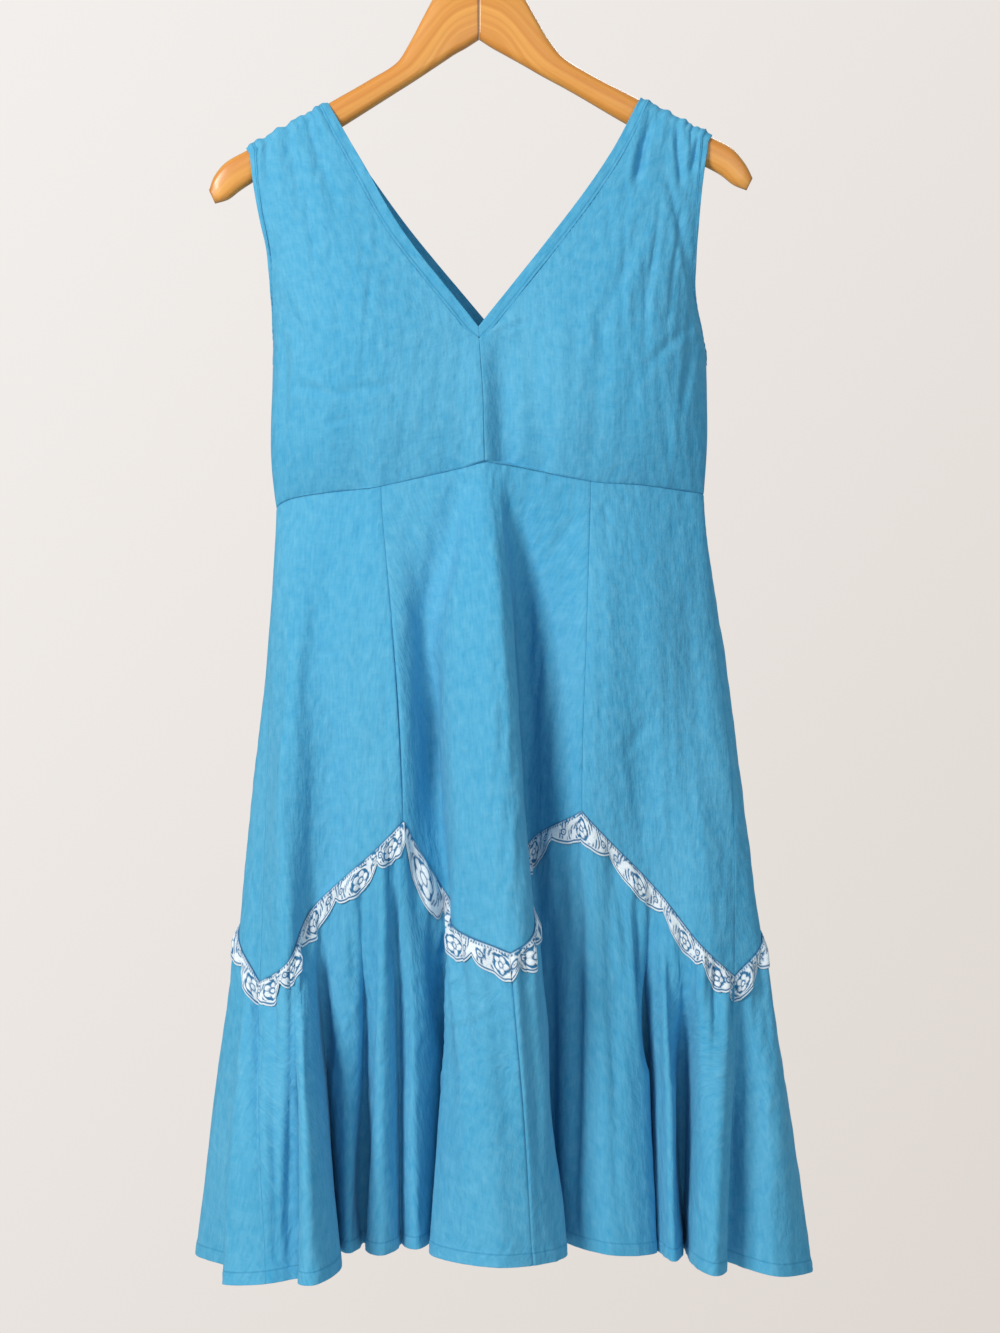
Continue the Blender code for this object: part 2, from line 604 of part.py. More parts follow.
def build_hook():
    """A steel wire that rises from a ferrule on the wood and bends into an open hook over the origin."""
    centre_z = HOOK_WIRE - HOOK_BEND
    start = math.radians(-50)
    angle = np.linspace(start, math.radians(200), 17)
    bend = np.stack([HOOK_BEND * np.cos(angle), centre_z + HOOK_BEND * np.sin(angle)], axis=-1)
    foot = np.array([0.0, HOOK_FOOT_Z + 16])
    handle = 11.0
    leave = foot + (0, handle)
    arrive = bend[0] - handle * np.array([-math.sin(start), math.cos(start)])
    t = np.linspace(0, 1, 7)[:-1, None]
    join = (1 - t) ** 3 * foot + 3 * (1 - t) ** 2 * t * leave + 3 * (1 - t) * t**2 * arrive + t**3 * bend[0]
    shank = np.array([[0, HOOK_FOOT_Z], [0, HOOK_FOOT_Z + 2.5], [0, HOOK_FOOT_Z + 3.5]])
    path = np.concatenate([shank, join, bend])
    radius = np.full(len(path), HOOK_WIRE)
    radius[:2] = FERRULE
    ahead = np.gradient(path, axis=0)
    ahead[:3] = (0, 1)
    ahead /= np.linalg.norm(ahead, axis=1, keepdims=True)
    sideways = np.stack([ahead[:, 1], -ahead[:, 0]], axis=-1)
    turn = np.arange(8) * 2 * math.pi / 8
    x = path[:, :1] + radius[:, None] * sideways[:, :1] * np.cos(turn)
    z = path[:, 1:] + radius[:, None] * sideways[:, 1:] * np.cos(turn)
    y = radius[:, None] * np.sin(turn)
    swept("hanger_hook", np.stack([x, y, z], axis=-1), STEEL, 0.3, 1.0)


def main():
    clear_scene()
    build_arm("hanger_arm_left", ARM_LEFT)
    build_arm("hanger_arm_right", ARM_RIGHT)
    build_hook()
    build_bodice()
    build_skirt()
    build_flounce()


main()
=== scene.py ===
"""Looks of a midi dress that hangs from a wooden hanger.

Tables, sizes and surfaces are in millimetres and meshes in metres. +Z is up, -Y is the front of the dress,
and the origin is the inside top of the hook. The cloth follows the same fold lines as the solids that it
stands for: a ring place u counts the lines of SKIRT_FOLDS from the left side seam round the front, and a hem
place k counts the control points of HEM_FOLDS.
"""

import logging
import math
from collections.abc import Callable, Sequence
from dataclasses import dataclass, field
from enum import Enum

import bmesh
import bpy
import numpy as np
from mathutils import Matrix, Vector


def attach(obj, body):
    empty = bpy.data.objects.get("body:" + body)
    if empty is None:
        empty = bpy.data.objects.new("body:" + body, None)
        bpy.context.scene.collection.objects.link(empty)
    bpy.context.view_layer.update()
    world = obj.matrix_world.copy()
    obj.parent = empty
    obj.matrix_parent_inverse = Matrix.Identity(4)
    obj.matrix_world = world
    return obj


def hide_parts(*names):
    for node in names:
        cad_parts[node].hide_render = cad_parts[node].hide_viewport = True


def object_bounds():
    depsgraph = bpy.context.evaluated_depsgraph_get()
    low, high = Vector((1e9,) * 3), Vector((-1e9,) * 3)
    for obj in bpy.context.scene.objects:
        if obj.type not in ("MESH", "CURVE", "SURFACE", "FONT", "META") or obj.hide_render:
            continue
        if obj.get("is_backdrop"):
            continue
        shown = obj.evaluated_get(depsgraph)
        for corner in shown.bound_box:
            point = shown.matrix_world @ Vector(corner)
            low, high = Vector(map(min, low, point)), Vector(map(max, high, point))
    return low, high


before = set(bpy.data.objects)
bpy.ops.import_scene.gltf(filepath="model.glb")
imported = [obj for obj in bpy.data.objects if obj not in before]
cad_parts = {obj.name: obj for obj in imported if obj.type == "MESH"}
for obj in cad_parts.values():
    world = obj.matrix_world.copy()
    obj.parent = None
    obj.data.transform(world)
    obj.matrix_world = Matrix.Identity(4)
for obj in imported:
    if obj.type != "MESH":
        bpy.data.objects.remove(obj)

MM = 0.001
BODY = "root"
LOG = logging.getLogger("dress")
CREASE_DEPTH = 1.9
CREASE_SHOULDER = (1.7, 0.28)
SEAM_ROWS = (0.0, 0.7, 1.5, 2.5, 3.8)
SKIRT_SEED, FLOUNCE_SEED, BODICE_SEED = 0, 20, 40
DENSE = 600

LEVELS = (0.0, 0.27, 0.6, 1.0)
LEVEL_NAMES = ("waist", "mid", "arch", "low")
FOLD_COLUMNS = ("waist_x", "waist_y", "waist_z", "mid_x", "mid_y",
                "arch_x", "arch_y", "low_x", "low_y", "edge_z")
SKIRT_FOLDS = {
    "left side seam": (-168, 0, -519, -171, -12, -174, -22, -178, -34, -908),
    "left lobe": (-154, -14, -513, -155, -36, -160, -50, -151, -58, -888),
    "left trough": (-122, -28, -509, -129, -41, -134, -38, -136, -30, -848),
    "left arch": (-93, -37, -507, -90, -56, -88, -58, -86, -44, -803),
    "left panel seam": (-79, -40, -505, -69, -60, -61, -60, -56, -42, -775),
    "cone trough": (-24, -43, -493, -43, -44, -33, -38, -16, -34, -838),
    "cone left": (-10, -46, -490, -16, -72, -16, -82, -20, -74, -858),
    "cone crest": (5, -48, -486, 12, -88, 18, -104, 28, -108, -874),
    "cone right": (14, -47, -487.5, 25, -76, 35, -86, 49, -88, -857),
    "deep trough": (30, -43, -489.7, 33, -34, 37, -24, 44, -20, -799),
    "right panel seam": (91, -40, -501, 87, -60, 83, -60, 86, -44, -767),
    "right arch": (131, -30, -503, 134, -52, 137, -48, 142, -40, -826),
    "right lobe": (166, -14, -506, 174, -32, 181, -42, 180, -50, -877),
    "right side seam": (186, 0, -508, 194, -16, 207, -28, 208, -36, -903),
    "right flank": (176, 15, -508, 198, 8, 216, 0, 238, -10, -870),
    "back right lobe": (140, 34, -509, 168, 48, 188, 58, 200, 64, -815),
    "back right seam": (92, 42, -510, 108, 44, 116, 42, 122, 40, -770),
    "back right ridge": (46, 46, -510, 56, 62, 62, 72, 66, 76, -822),
    "back middle": (4, 45, -510, 8, 52, 10, 54, 12, 54, -884),
    "back left ridge": (-40, 46, -511, -46, 64, -50, 74, -54, 78, -824),
    "back left seam": (-86, 42, -513, -98, 44, -104, 42, -110, 40, -772),
    "back left lobe": (-130, 32, -515, -150, 44, -162, 56, -172, 60, -818),
    "left flank": (-159, 14, -518, -172, 9, -188, 8, -203, 4, -868),
}
LINE = {name: place for place, name in enumerate(SKIRT_FOLDS)}
RING = len(SKIRT_FOLDS)

HEM_FOLDS = (
    # name, u left, u crest, u right, x left, x right, y crest, hollow x, hollow y
    ("left outer", -0.35, -0.20, 1.30, -202, -143, -93, -133, -84),
    ("left inner", 1.50, 1.65, 1.85, -140, -110, -112, -119, -4),
    ("left arch outer", 2.25, 2.45, 2.70, -112, -97, -34, -95, -8),
    ("left arch", 2.95, 3.20, 3.50, -90, -68, -48, -64, -18),
    ("left arch inner", 3.80, 4.10, 4.50, -58, -40, -38, -29, 13),
    ("centre cone", 5.20, 6.20, 8.00, -37, 69, -95, 60, 15),
    ("right arch", 9.90, 10.30, 10.80, 77, 145, -38, 139, 22),
    ("right arch outer", 11.05, 11.20, 11.35, 150, 166, -36, 171, 16),
    ("right seam fold", 11.90, 12.50, 13.00, 174, 200, -62, 202, -14),
    ("right flank", 13.30, 13.60, 13.90, 222, 262, -36, 277, 6),
    ("back right outer", 14.40, 14.80, 15.20, 262, 206, 84, 172, 46),
    ("back right inner", 16.00, 16.40, 16.80, 142, 84, 100, 56, 52),
    ("back middle", 17.60, 18.00, 18.40, 24, -34, 98, -64, 50),
    ("back left inner", 19.30, 19.80, 20.30, -94, -150, 96, -178, 44),
    ("back left outer", 21.20, 21.60, 22.00, -206, -238, 62, -193, -46),
)

NECK_RISE = 0.42
RISES = (0.0, 0.20, NECK_RISE, 0.66, 0.79, 0.89, 1.0)
INNER_COLUMNS = ("inner_x", "inner_z", "inner_depth", "fullness")
OUTER_COLUMNS = ("outer_x", "outer_z", "outer_depth")
OUTER_EDGES = {
    "left": ((-168, -519, 0), (-172, -471, 0), (-170, -390, 0), (-173, -320, 13), (-181, -279, 15),
             (-186, -252, 12), (-189.5, -228, 7.6)),
    "right": ((186, -508, 0), (189, -461, 0), (188, -392, 0), (178, -331, 13), (181, -283, 15),
              (185, -247, 12), (189.5, -217.7, 7.6)),
}
FRONT_SEAM = ((5, -486, 48, 0), (4, -440, 52, 10), (0, -377.5, 50, 16))
BACK_SEAM = ((4, -510, 45, 0), (4, -450, 42, 4), (4, -357, 36, 5))
INNER_EDGES = {
    "front_left": (*FRONT_SEAM, (-66, -291, 38, 9), (-91, -246, 27, 5), (-106, -219, 16, 2),
                   (-122, -190, 7.6, 0)),
    "front_right": (*FRONT_SEAM, (60, -300, 38, 9), (91, -257, 27, 5), (112, -223, 16, 2),
                    (130.5, -186.7, 7.6, 0)),
    "back_left": (*BACK_SEAM, (-60, -281, 28, 3), (-88.5, -243, 20, 2), (-106, -219, 13, 1),
                  (-122, -190, 7.6, 0)),
    "back_right": (*BACK_SEAM, (58, -297, 28, 3), (89, -257, 20, 2), (112, -223, 13, 1),
                   (130.5, -186.7, 7.6, 0)),
}

ARM_LEFT = (
    # top x, top z, bottom x, bottom z, thickness share
    (-0.15, -75, -0.15, -131, 1.0),
    (-20, -79, -11, -138, 1.0),
    (-34, -91, -20, -143, 1.0),
    (-45, -110, -29, -149, 1.0),
    (-56, -131, -38, -155, 1.0),
    (-68, -150, -50, -163, 1.0),
    (-89.6, -163.8, -72, -177, 1.0),
    (-125.3, -184.3, -113, -203, 1.0),
    (-193.4, -223.5, -181, -245, 1.0),
    (-210, -233, -198, -256, 1.0),
    (-220, -245, -209, -264, 0.9),
    (-224, -256, -219, -267, 0.55),
)
ARM_RIGHT = (
    (0.15, -75, 0.15, -131, 1.0),
    (20, -79, 11, -138, 1.0),
    (34, -91, 20, -143, 1.0),
    (46, -111, 29, -148, 1.0),
    (57, -130, 38, -153, 1.0),
    (70, -146, 50, -160, 1.0),
    (88.8, -158, 74, -173, 1.0),
    (133.6, -181.3, 122, -201, 1.0),
    (192.6, -212, 181, -233, 1.0),
    (210, -221.5, 200, -243, 1.0),
    (222, -236, 212, -252, 0.9),
    (227, -246, 222, -256, 0.55),
)

CREASE_COLUMNS = ("x", "z", "end_x", "end_z", "depth", "width")
BODICE_CREASES = (
    ("bust fold outer", -149, -423, -116, -432, 0.9, 4),
    ("bust fold inner", -116, -432, -62, -423, 0.6, 4),
    ("bust tick", -123, -456, -106, -451, 0.6, 3),
    ("left armhole pull", -158, -354, -129, -414, 0.9, 6),
    ("left armhole tuck", -158, -373, -160, -460, 1.3, 4),
    ("left strap fold outer", -178, -236, -168, -325, 0.7, 5),
    ("left strap fold", -157, -217, -134, -307, 0.9, 7),
    ("left strap fold inner", -141, -207, -116, -279, 0.6, 5),
    ("under bust left", -108, -435, -92, -506, 1.2, 12),
    ("side front left", -144, -438, -139, -512, 0.9, 13),
    ("under bust inner", -54, -460, -66, -502, 0.6, 11),
    ("left chest", -129, -315, -102, -396, 0.7, 14),
    ("right strap gather inner", 142, -199, 127, -256, 2.0, 3.4),
    ("right strap gather", 164, -207, 166, -260, 2.0, 3.4),
    ("right strap gather outer", 181, -218, 176, -243, 1.8, 3),
    ("right strap fold", 153, -241, 172, -327, 1.0, 4.5),
    ("right strap fold inner", 134, -217, 130, -267, 1.1, 4),
    ("right chest outer", 146, -304, 124, -386, 0.9, 6),
    ("right chest", 135, -283, 96, -386, 0.8, 5.5),
    ("right chest inner", 104, -359, 96, -435, 0.8, 7),
    ("right bust", 94, -408, 98, -480, 0.8, 8),
    ("right side bust", 125, -420, 120, -481, 0.7, 9),
    ("right side", 148, -433, 146, -488, 0.6, 9),
    ("right armhole pull", 171, -373, 136, -409, 0.9, 4),
    ("right armhole tuck", 176, -383, 166, -436, 1.1, 4),
    ("neck point pull", 12, -384, 44, -371, 0.7, 2.4),
    ("centre front hollow", 17, -392, 22, -514, 5.0, 10),
    ("centre front fade", 36, -388, 44, -512, 3.4, 15),
    ("right fine outer", 176, -330, 160, -500, 0.6, 2.6),
    ("right fine strap", 168, -262, 150, -400, 0.7, 2.6),
    ("right fine strap inner", 150, -262, 128, -420, 0.6, 2.4),
    ("right fine middle", 120, -262, 112, -470, 0.5, 2.4),
    ("right fine low", 134, -300, 138, -500, 0.6, 2.6),
    ("right fine inner", 84, -330, 72, -470, 0.5, 2.4),
    ("left fine", -84, -300, -96, -480, 0.4, 2.6),
    ("left fine outer", -140, -260, -126, -400, 0.5, 2.6),
    ("right lower fold", 61, -430, 54, -486, 0.6, 8),
)
BODICE_BACK_CREASES = (
    ("back left armhole pull", -156, -360, -122, -410, 0.9, 5),
    ("back left strap fold", -160, -222, -140, -310, 0.9, 6),
    ("back left blade", -120, -330, -98, -400, 0.7, 12),
    ("back left low", -70, -430, -78, -500, 1.0, 12),
    ("back left side", -132, -440, -126, -508, 0.8, 11),
    ("back middle fold", -22, -420, -18, -504, 0.8, 9),
    ("back right armhole pull", 172, -366, 138, -404, 0.9, 5),
    ("back right strap gather", 150, -204, 144, -262, 1.8, 3.6),
    ("back right strap fold", 170, -214, 158, -300, 1.0, 5),
    ("back right blade", 118, -320, 102, -404, 0.8, 11),
    ("back right low", 84, -428, 90, -500, 1.0, 12),
    ("back right side", 146, -436, 142, -500, 0.7, 10),
    ("back point pull", 10, -372, 38, -352, 0.7, 3),
)
SKIRT_CREASES = (
    ("waist left", -14, -506, -40, -626, 2.6, 10),
    ("cone left hollow", -39, -620, -38, -790, 1.9, 8),
    ("cone left ridge", -62, -560, -57, -760, -2.2, 10),
    ("cone edge hollow", 35, -500, 45, -800, 1.6, 8),
    ("seam wrinkle", -37, -648, -40, -752, 1.4, 7),
    ("seam wrinkle outer", -53, -654, -51, -712, 0.9, 5),
    ("left broad", -108, -555, -149, -697, 1.2, 17),
    ("left trough", -114, -655, -119, -860, 2.6, 10),
    ("left lobe ridge", -144, -640, -149, -880, -2.6, 10),
    ("left fine", -150, -600, -158, -860, 0.5, 2.6),
    ("left fine inner", -76, -620, -70, -800, 0.6, 2.4),
    ("left seam fine", -106, -600, -84, -720, 0.5, 2.4),
    ("cone fine", 0, -560, 6, -820, 0.5, 2.4),
    ("cone fine right", 22, -600, 34, -850, 0.5, 2.4),
    ("right fine", 96, -560, 100, -760, 0.4, 2.4),
    ("right fine outer", 150, -620, 158, -840, 0.5, 2.6),
    ("left side", -157, -566, -167, -758, 1.2, 9),
    ("left tick", -133, -642, -112, -638, 0.4, 3),
    ("left dart", -96, -590, -90, -652, 0.7, 7),
    ("left low", -93, -710, -101, -787, 0.9, 10),
    ("cone crease", 15, -630, 26, -838, 0.8, 6),
    ("cone crease left", -7, -678, -13, -838, 0.8, 9),
    ("cone crease low", 8, -774, 13, -862, 0.7, 7),
    ("waist right tick", 102, -520, 105, -534, 0.7, 3),
    ("right diagonal", 115, -723, 141, -694, 0.6, 5),
    ("right diagonal low", 106, -729, 115, -758, 0.5, 5),
    ("right trough", 129, -691, 134, -785, 1.7, 12),
    ("right soft", 121, -578, 125, -678, 1.0, 12),
    ("right outer", 169, -598, 177, -758, 1.1, 14),
    ("right waist fold", 70, -518, 77, -598, 0.8, 10),
    ("trough pull", 56, -566, 81, -528, 0.6, 6),
    ("right flank fold", 190, -726, 203, -838, 1.2, 10),
)
SKIRT_BACK_CREASES = (
    ("back waist left", -54, -526, -66, -640, 1.2, 12),
    ("back left wrinkle", -116, -600, -122, -720, 1.2, 9),
    ("back left low", -84, -700, -78, -800, 1.4, 11),
    ("back middle wrinkle", -14, -560, -18, -690, 1.0, 10),
    ("back middle low", 22, -680, 26, -810, 1.3, 11),
    ("back right wrinkle", 96, -590, 108, -700, 1.1, 9),
    ("back waist right", 58, -524, 70, -610, 0.9, 11),
    ("back right low", 140, -680, 150, -800, 1.5, 12),
    ("back right flank", 176, -600, 196, -740, 1.1, 12),
    ("back left flank", -152, -560, -170, -720, 1.0, 11),
)
FLOUNCE_CREASES = (
    ("left point line", -173, -931, -175, -998, 1.1, 3),
    ("left point line low", -175, -998, -165, -1072, 1.1, 3),
    ("left point pull", -162, -961, -174, -992, 0.6, 3),
    ("left fold hollow", -146, -976, -148, -1140, 2.6, 8),
    ("left outer hollow", -179, -950, -204, -1140, 1.7, 8),
    ("left fold edge", -160, -965, -160, -1120, 1.2, 4),
    ("left hollow high", -131, -880, -122, -980, 2.6, 5),
    ("arch fold", -84, -836, -91, -998, 3.4, 5),
    ("arch fold low", -91, -990, -99, -1138, 2.8, 6),
    ("arch outer gather", -102, -846, -101, -912, 1.7, 4),
    ("arch inner fold", -60, -843, -58, -1014, 1.6, 6),
    ("arch gather", -68, -830, -72, -900, 1.6, 4),
    ("arch hollow high", -40, -846, -32, -960, 3.0, 6),
    ("arch lace gather", -28, -872, -30, -930, 1.6, 3),
    ("cone pull", -7, -906, -13, -1022, 1.2, 8),
    ("cone fold", 41, -910, 56, -1102, 1.4, 7),
    ("cone gather", 22, -900, 26, -960, 1.0, 4),
    ("right arch fold", 83, -806, 78, -1120, 2.6, 5),
    ("right arch fold outer", 94, -803, 107, -950, 1.2, 8),
    ("right arch gather", 117, -836, 122, -900, 1.4, 4),
    ("right hollow high", 126, -836, 138, -980, 4.6, 4),
    ("right arch edge", 60, -850, 62, -1120, 2.2, 5),
    ("right arch middle", 106, -830, 114, -1100, 1.3, 6),
    ("right ridge hollow", 167, -926, 165, -1110, 2.4, 5),
    ("right outer hollow high", 156, -880, 160, -990, 2.4, 4),
    ("right seam hollow", 178, -918, 173, -1094, 1.4, 5),
    ("right gather", 192, -910, 195, -966, 1.4, 4),
    ("right flank gather", 211, -906, 219, -974, 1.4, 5),
    ("right flank fold", 218, -966, 234, -1110, 1.2, 9),
    ("right flank turn", 228, -940, 262, -1130, 3.0, 15),
)
FLOUNCE_BACK_CREASES = (
    ("back left hollow", -120, -840, -126, -1040, 2.2, 8),
    ("back left gather", -92, -830, -90, -930, 1.8, 5),
    ("back left outer fold", -196, -900, -212, -1080, 1.6, 8),
    ("back middle hollow", 4, -930, 0, -1090, 1.8, 8),
    ("back right gather", 96, -820, 94, -930, 1.9, 5),
    ("back right hollow", 124, -840, 118, -1050, 2.2, 8),
    ("back right outer fold", 214, -900, 232, -1080, 1.6, 8),
)


class Face(Enum):
    """The side of the dress that a panel is on, as the way it faces along Y."""

    FRONT = -1
    BACK = 1


def slopes_of(knots: np.ndarray, rows: np.ndarray, steady: bool) -> np.ndarray:
    """The slope at each knot: its chord's, or, if steady, a mean of its spans' that never overshoots.

    Args:
        knots: Places of the rows, rising.
        rows: The column's values, one or an array for each knot.
        steady: Whether the curve must stay between its rows.

    Returns:
        An array of the shape of rows.
    """
    if not steady:
        return np.gradient(rows, knots, axis=0)
    chord = np.diff(rows) / np.diff(knots)
    same_way = chord[1:] * chord[:-1] > 0
    both = np.where(same_way, chord[1:] + chord[:-1], 1.0)
    inside = np.where(same_way, 2 * chord[1:] * chord[:-1] / both, 0.0)
    return np.concatenate([chord[:1], inside, chord[-1:]])


def smooth(at: np.ndarray, knots: Sequence[float], rows: Sequence, steady: bool = False) -> np.ndarray:
    """A curve through a column of a table: a cubic in each span, from its end values and their slopes.

    Args:
        at: Places to read, of any shape.
        knots: Places of the rows, rising.
        rows: Numbers, or arrays of the shape of at.
        steady: Whether the curve must stay between its rows.

    Returns:
        The values at those places.
    """
    knots, rows = np.asarray(knots, float), np.asarray(rows, float)
    at = np.clip(np.asarray(at, float), knots[0], knots[-1])
    slopes = slopes_of(knots, rows, steady)
    span = np.clip(np.searchsorted(knots, at, side="right") - 1, 0, len(knots) - 2)
    width = knots[span + 1] - knots[span]
    part = (at - knots[span]) / width

    def pick(table: np.ndarray, place: np.ndarray) -> np.ndarray:
        """The row of a table at each place."""
        return table[place] if table.ndim == 1 else np.take_along_axis(table, place[None], 0)[0]

    near, far = (1 - part) ** 2, part**2
    start = (1 + 2 * part) * near * pick(rows, span) + part * near * width * pick(slopes, span)
    end = (3 - 2 * part) * far * pick(rows, span + 1) - far * (1 - part) * width * pick(slopes, span + 1)
    return start + end


def arc(points: np.ndarray, axis: int) -> np.ndarray:
    """The length passed along an axis of a grid of points: the running sum of its steps."""
    steps = np.linalg.norm(np.diff(points, axis=axis), axis=-1)
    start = np.zeros_like(np.take(steps, [0], axis=axis))
    return np.concatenate([start, np.cumsum(steps, axis=axis)], axis=axis)


def bell(distance: np.ndarray, width: float) -> np.ndarray:
    """A bell curve: one at no distance, and exp of minus the squared distance in widths elsewhere."""
    return np.exp(-((distance / width) ** 2))


def beside(distance: np.ndarray, reach: float) -> np.ndarray:
    """One on a line, and exp of minus the distance in reaches beside it."""
    return np.exp(-distance / reach)


def ramp(distance: np.ndarray, reach: float) -> np.ndarray:
    """A straight rise from 0 on a line to 1 at a reach from it."""
    return np.clip(distance / reach, 0, 1)


def inward(across: np.ndarray) -> np.ndarray:
    """The distance from the nearer end of each row, where the rows give the length passed."""
    return np.minimum(across, across[:, -1:] - across)


def places(length: float, step: float) -> np.ndarray:
    """Shares of a length at even steps, with a few more rows close to both ends, where seams roll the cloth.

    Args:
        length: The length, in millimetres.
        step: The wanted step.

    Returns:
        Rising shares from 0 to 1.
    """
    near = np.array(SEAM_ROWS)
    count = max(2, round((length - 2 * near[-1]) / step))
    inside = np.linspace(near[-1], length - near[-1], count + 1)
    return np.concatenate([near[:-1], inside, length - near[-2::-1]]) / length


def crease_relief(points: np.ndarray, creases: Sequence[tuple]) -> np.ndarray:
    """Troughs pressed into cloth: each is its depth times a bell over the distance from a line.

    A crease fades towards its two ends, and has a low shoulder on each side.

    Args:
        points: Grid of the cloth, in millimetres.
        creases: Rows of a crease table, whose ends are given in x and z.

    Returns:
        The height of the relief at each point, below zero in a trough.
    """
    height = np.zeros(points.shape[:2])
    for _, *row in creases:
        crease = dict(zip(CREASE_COLUMNS, row))
        run_x, run_z = crease["end_x"] - crease["x"], crease["end_z"] - crease["z"]
        length, width = math.hypot(run_x, run_z), crease["width"]
        beyond_x, beyond_z = points[..., 0] - crease["x"], points[..., 2] - crease["z"]
        passed = (beyond_x * run_x + beyond_z * run_z) / length
        aside = (beyond_x * run_z - beyond_z * run_x) / length
        fade = np.sin(math.pi * np.clip((passed + width) / (length + 2 * width), 0, 1)) ** 0.7
        off, share = CREASE_SHOULDER[0] * width, CREASE_SHOULDER[1]
        shoulder = bell(aside - off, width) + bell(aside + off, width)
        height -= CREASE_DEPTH * crease["depth"] * fade * (bell(aside, width) - share * shoulder)
    return height


@dataclass(frozen=True)
class Crinkle:
    """Faint uneven creasing: a height, typical wave lengths across and down, and a number of waves."""

    height: float
    wide: float
    tall: float
    count: int

    def relief(self, across: np.ndarray, down: np.ndarray, seed: int) -> np.ndarray:
        """The height times a mean of seeded sine waves, in patches.

        Args:
            across: Millimetres across the cloth at each point.
            down: Millimetres down the cloth.
            seed: Seed of the random draws.

        Returns:
            Heights in millimetres, above and below 0.
        """
        rng = np.random.default_rng(seed)
        waves = np.zeros_like(across)
        for _ in range(self.count):
            turn = 2 * math.pi / (self.wide * rng.uniform(0.6, 1.8))
            lean = 2 * math.pi / (self.tall * rng.uniform(0.6, 2.0)) * rng.choice([-1, 1])
            waves += np.sin(turn * across + lean * down + rng.uniform(0, 2 * math.pi))
        patch = np.sin(across / (3.1 * self.wide) + seed) + np.sin(down / (1.3 * self.tall) + 2.0 * seed)
        return self.height * waves / math.sqrt(self.count) * (0.75 + 0.25 * patch)


@dataclass(frozen=True)
class Tucks:
    """Small uneven tucks that a line of stitches draws up: a height, a pitch and a reach beside the line."""

    height: float
    pitch: float
    reach: float
    clear: float = 2.0

    def wave(self, along: np.ndarray, seed: int) -> np.ndarray:
        """The tucks on the line itself: the height times a sine whose phase wanders."""
        wander = 1.7 * np.sin(along / 23.0 + seed) + 1.1 * np.sin(along / 9.3 + 2.3 * seed)
        uneven = 0.6 + 0.4 * np.sin(along / 31.0 + 0.7 * seed)
        return self.height * np.sin(2 * math.pi * along / self.pitch + wander) * uneven

    def relief(self, along: np.ndarray, off: np.ndarray, seed: int) -> np.ndarray:
        """The tucks beside a seam, which start flat on it and fade away from it."""
        return self.wave(along, seed) * beside(off, self.reach) * ramp(off, self.clear)


def linear(hex_colour: str) -> tuple[float, float, float, float]:
    """The linear colour of an sRGB hex value, with full alpha."""
    parts = [int(hex_colour[place : place + 2], 16) / 255 for place in (1, 3, 5)]
    red, green, blue = ((p / 12.92 if p <= 0.04045 else ((p + 0.055) / 1.055) ** 2.4) for p in parts)
    return red, green, blue, 1.0


def add(tree: bpy.types.NodeTree, kind: str, inputs: dict | None = None,
        **settings: object) -> bpy.types.Node:
    """Adds a shader node.

    Args:
        tree: The material's nodes.
        kind: The node's type, without its ShaderNode start.
        inputs: Values for its sockets, or the sockets to link to them.
        settings: Its own properties.

    Returns:
        The node.
    """
    made = tree.nodes.new("ShaderNode" + kind)
    for name, value in settings.items():
        setattr(made, name, value)
    for key, value in (inputs or {}).items():
        if isinstance(value, bpy.types.NodeSocket):
            tree.links.new(value, made.inputs[key])
        else:
            made.inputs[key].default_value = value
    return made


def new_material(name: str) -> tuple[bpy.types.Material, bpy.types.NodeTree, bpy.types.NodeSocket]:
    """A material with its nodes and the layout of its piece, laid flat in metres."""
    material = bpy.data.materials.new(name)
    material.use_nodes = True
    tree = material.node_tree
    return material, tree, add(tree, "UVMap", uv_map="cut").outputs["UV"]


def finished(material: bpy.types.Material, colour: bpy.types.NodeSocket, relief: dict | None,
             values: dict) -> bpy.types.Material:
    """Completes a material.

    Args:
        material: The material.
        colour: Its base colour.
        relief: The inputs of its bump, or None for a smooth surface.
        values: Plain inputs of its Principled shader.

    Returns:
        The same material.
    """
    tree = material.node_tree
    shader = tree.nodes["Principled BSDF"]
    for name, value in values.items():
        shader.inputs[name].default_value = value
    tree.links.new(colour, shader.inputs["Base Color"])
    if relief:
        tree.links.new(add(tree, "Bump", relief).outputs["Normal"], shader.inputs["Normal"])
    return material


def marked(tree: bpy.types.NodeTree, name: str) -> bpy.types.NodeSocket:
    """The value of a piece's own mark at each point."""
    return add(tree, "Attribute", attribute_name=name).outputs["Fac"]


def streaks(tree: bpy.types.NodeTree, place: bpy.types.NodeSocket, wide: float, tall: float,
            detail: float = 2.0) -> bpy.types.NodeSocket:
    """Noise whose spots are about wide by tall millimetres on a surface laid out in metres."""
    each = (1 / (wide * MM), 1 / (tall * MM), 1 / (wide * MM))
    scaled = add(tree, "Mapping", {"Vector": place, "Scale": each})
    noise = add(tree, "TexNoise", {"Vector": scaled.outputs["Vector"], "Scale": 0.5, "Detail": detail})
    return noise.outputs["Fac"]


def mixed(tree: bpy.types.NodeTree, share: object, first: object, second: object) -> bpy.types.NodeSocket:
    """A colour between two, by a share."""
    return add(tree, "Mix", {0: share, 6: first, 7: second}, data_type="RGBA").outputs[2]


def sum_of(tree: bpy.types.NodeTree, first: object, share: float, second: object) -> bpy.types.NodeSocket:
    """The first value times a share, plus the second."""
    return add(tree, "Math", {0: first, 1: share, 2: second}, operation="MULTIPLY_ADD").outputs[0]


